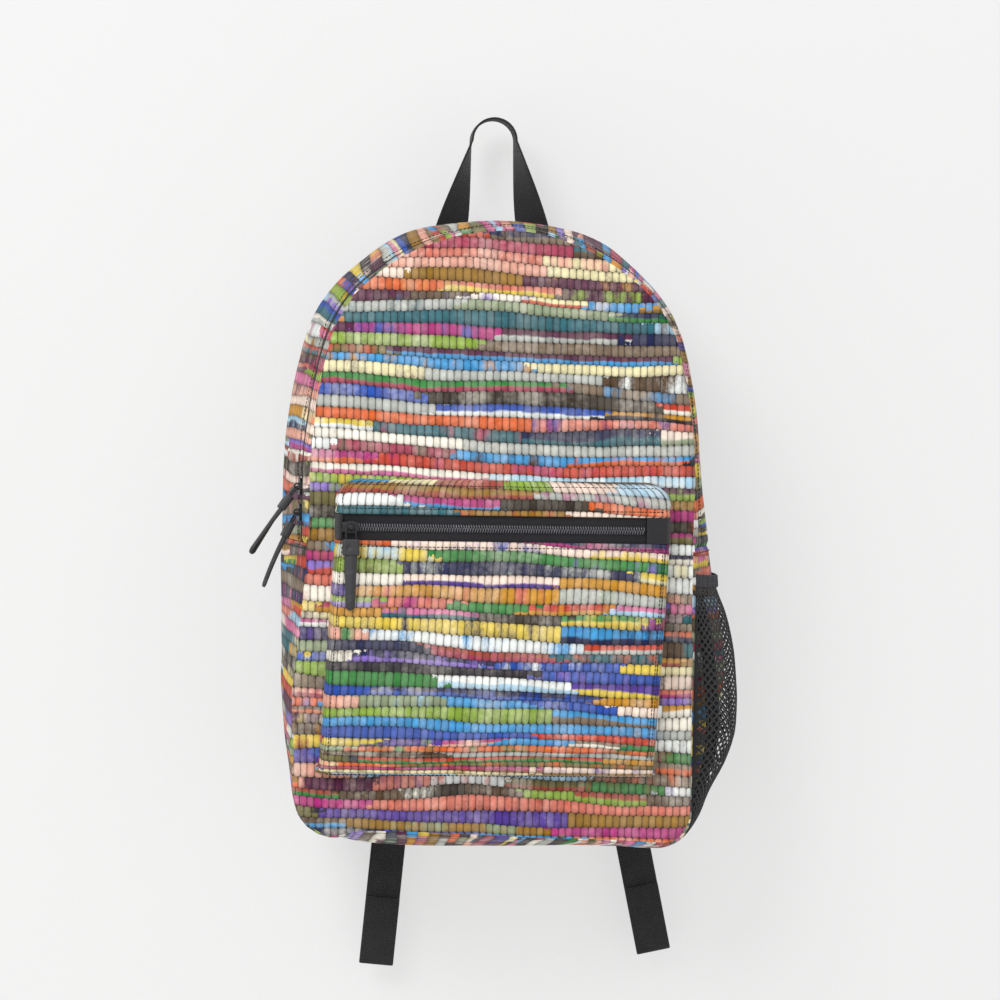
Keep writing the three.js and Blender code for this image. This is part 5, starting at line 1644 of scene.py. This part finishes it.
def plane(name, corners, colours, glow):
    mesh = bpy.data.meshes.new(name)
    mesh.from_pydata(corners, [], [(0, 1, 2, 3)])
    g = Graph(name, roughness=0.95, specular_ior_level=0.1, emission_color=WHITE, emission_strength=glow)
    place = g.coordinates("Object")
    g.finish(g.ramp(0.5 + 0.8 * g.noise(place, 420, 3.0), colours), g.noise(place, 5, 3.0), 0.0002)
    mesh.materials.append(g.material)
    obj = linked(name, mesh)
    return obj, g


def stage():
    r = STAGE_REACH
    floor_corners = [(-r, -r, FLOOR_Z), (r, -r, FLOOR_Z), (r, r, FLOOR_Z), (-r, r, FLOOR_Z)]
    plane("floor", floor_corners, FLOOR_COLOURS, 0.0)
    wall_corners = [(-r, WALL_Y, -r), (r, WALL_Y, -r), (r, WALL_Y, r), (-r, WALL_Y, r)]
    wall, g = plane("wall", wall_corners, WALL_COLOURS, WALL_GLOW)
    for ray in ("diffuse", "glossy", "transmission", "shadow"):
        setattr(wall, f"visible_{ray}", False)

    # The wall's back is clear, so that the bag shows from behind
    clear = g.node("ShaderNodeBsdfTransparent")
    back = g.node("ShaderNodeNewGeometry").outputs["Backfacing"]
    mix_shaders(g.tree, back, g.shader, clear, "Material Output")


def mix_shaders(tree, share, first, second, output):
    both = tree.nodes.new("ShaderNodeMixShader")
    for source, socket in zip((share, first.outputs[0], second.outputs[0]), both.inputs):
        tree.links.new(source, socket)
    tree.links.new(both.outputs[0], tree.nodes[output].inputs[0])


def area_light(name, place, size, power):
    data = bpy.data.lights.new(name, "AREA")
    data.shape = "DISK"
    data.size = size
    data.energy = power
    obj = linked(name, data)
    obj.location = place
    obj.rotation_euler = (Vector(LIGHT_TARGET) - Vector(place)).to_track_quat("-Z", "Y").to_euler()


def light():
    """A soft key from the left, a weaker one behind, and a sky that looks pale to camera and gloss."""
    world = bpy.data.worlds.new("studio")
    bpy.context.scene.world = world
    world.use_nodes = True
    tree = world.node_tree
    sky = tree.nodes["Background"]
    sky.inputs["Strength"].default_value = SKY_STRENGTH
    sky.inputs["Color"].default_value = WHITE
    pale = tree.nodes.new("ShaderNodeBackground")
    pale.inputs["Color"].default_value = paint(SKY_SEEN)
    path = tree.nodes.new("ShaderNodeLightPath")
    seen = path.outputs["Is Camera Ray"]
    for ray in ("Is Glossy Ray", "Is Transmission Ray"):
        either = tree.nodes.new("ShaderNodeMath")
        either.operation = "MAXIMUM"
        tree.links.new(seen, either.inputs[0])
        tree.links.new(path.outputs[ray], either.inputs[1])
        seen = either.outputs[0]
    mix_shaders(tree, seen, sky, pale, "World Output")
    area_light("key", (-1.3, -2.3, 1.3), 1.4, 36)
    area_light("rear", (0.9, 2.4, 1.1), 2.0, 14)


def camera():
    level = math.cos(CAMERA_PITCH)
    away = Vector((-math.sin(CAMERA_YAW) * level, -math.cos(CAMERA_YAW) * level, math.sin(CAMERA_PITCH)))
    data = bpy.data.cameras.new("camera")
    data.sensor_width = SENSOR
    data.lens = SENSOR * CAMERA_DISTANCE / PHOTO_WIDTH
    obj = linked("camera", data)
    obj.location = Vector(at(AIM)) + away * CAMERA_DISTANCE
    turn = (-away).to_track_quat("-Z", "Y").to_matrix().to_4x4() @ Matrix.Rotation(CAMERA_ROLL, 4, "Z")
    obj.rotation_euler = turn.to_euler()
    bpy.context.scene.camera = obj
    bpy.context.scene.view_settings.view_transform = "Standard"


front_panel()
gussets()
main_zip()
pocket_zip()
stitch_row("pocket_stitching", pocket_front() + pocket_top())
pocket_ends()
side_net()
net_binding()
zip_pulls()
haul_loop()
back_pad()
back_details()
for strap_set in STRAP_SETS:
    strap_webbing(strap_set)
    shoulder_strap(strap_set)
stage()
light()
camera()
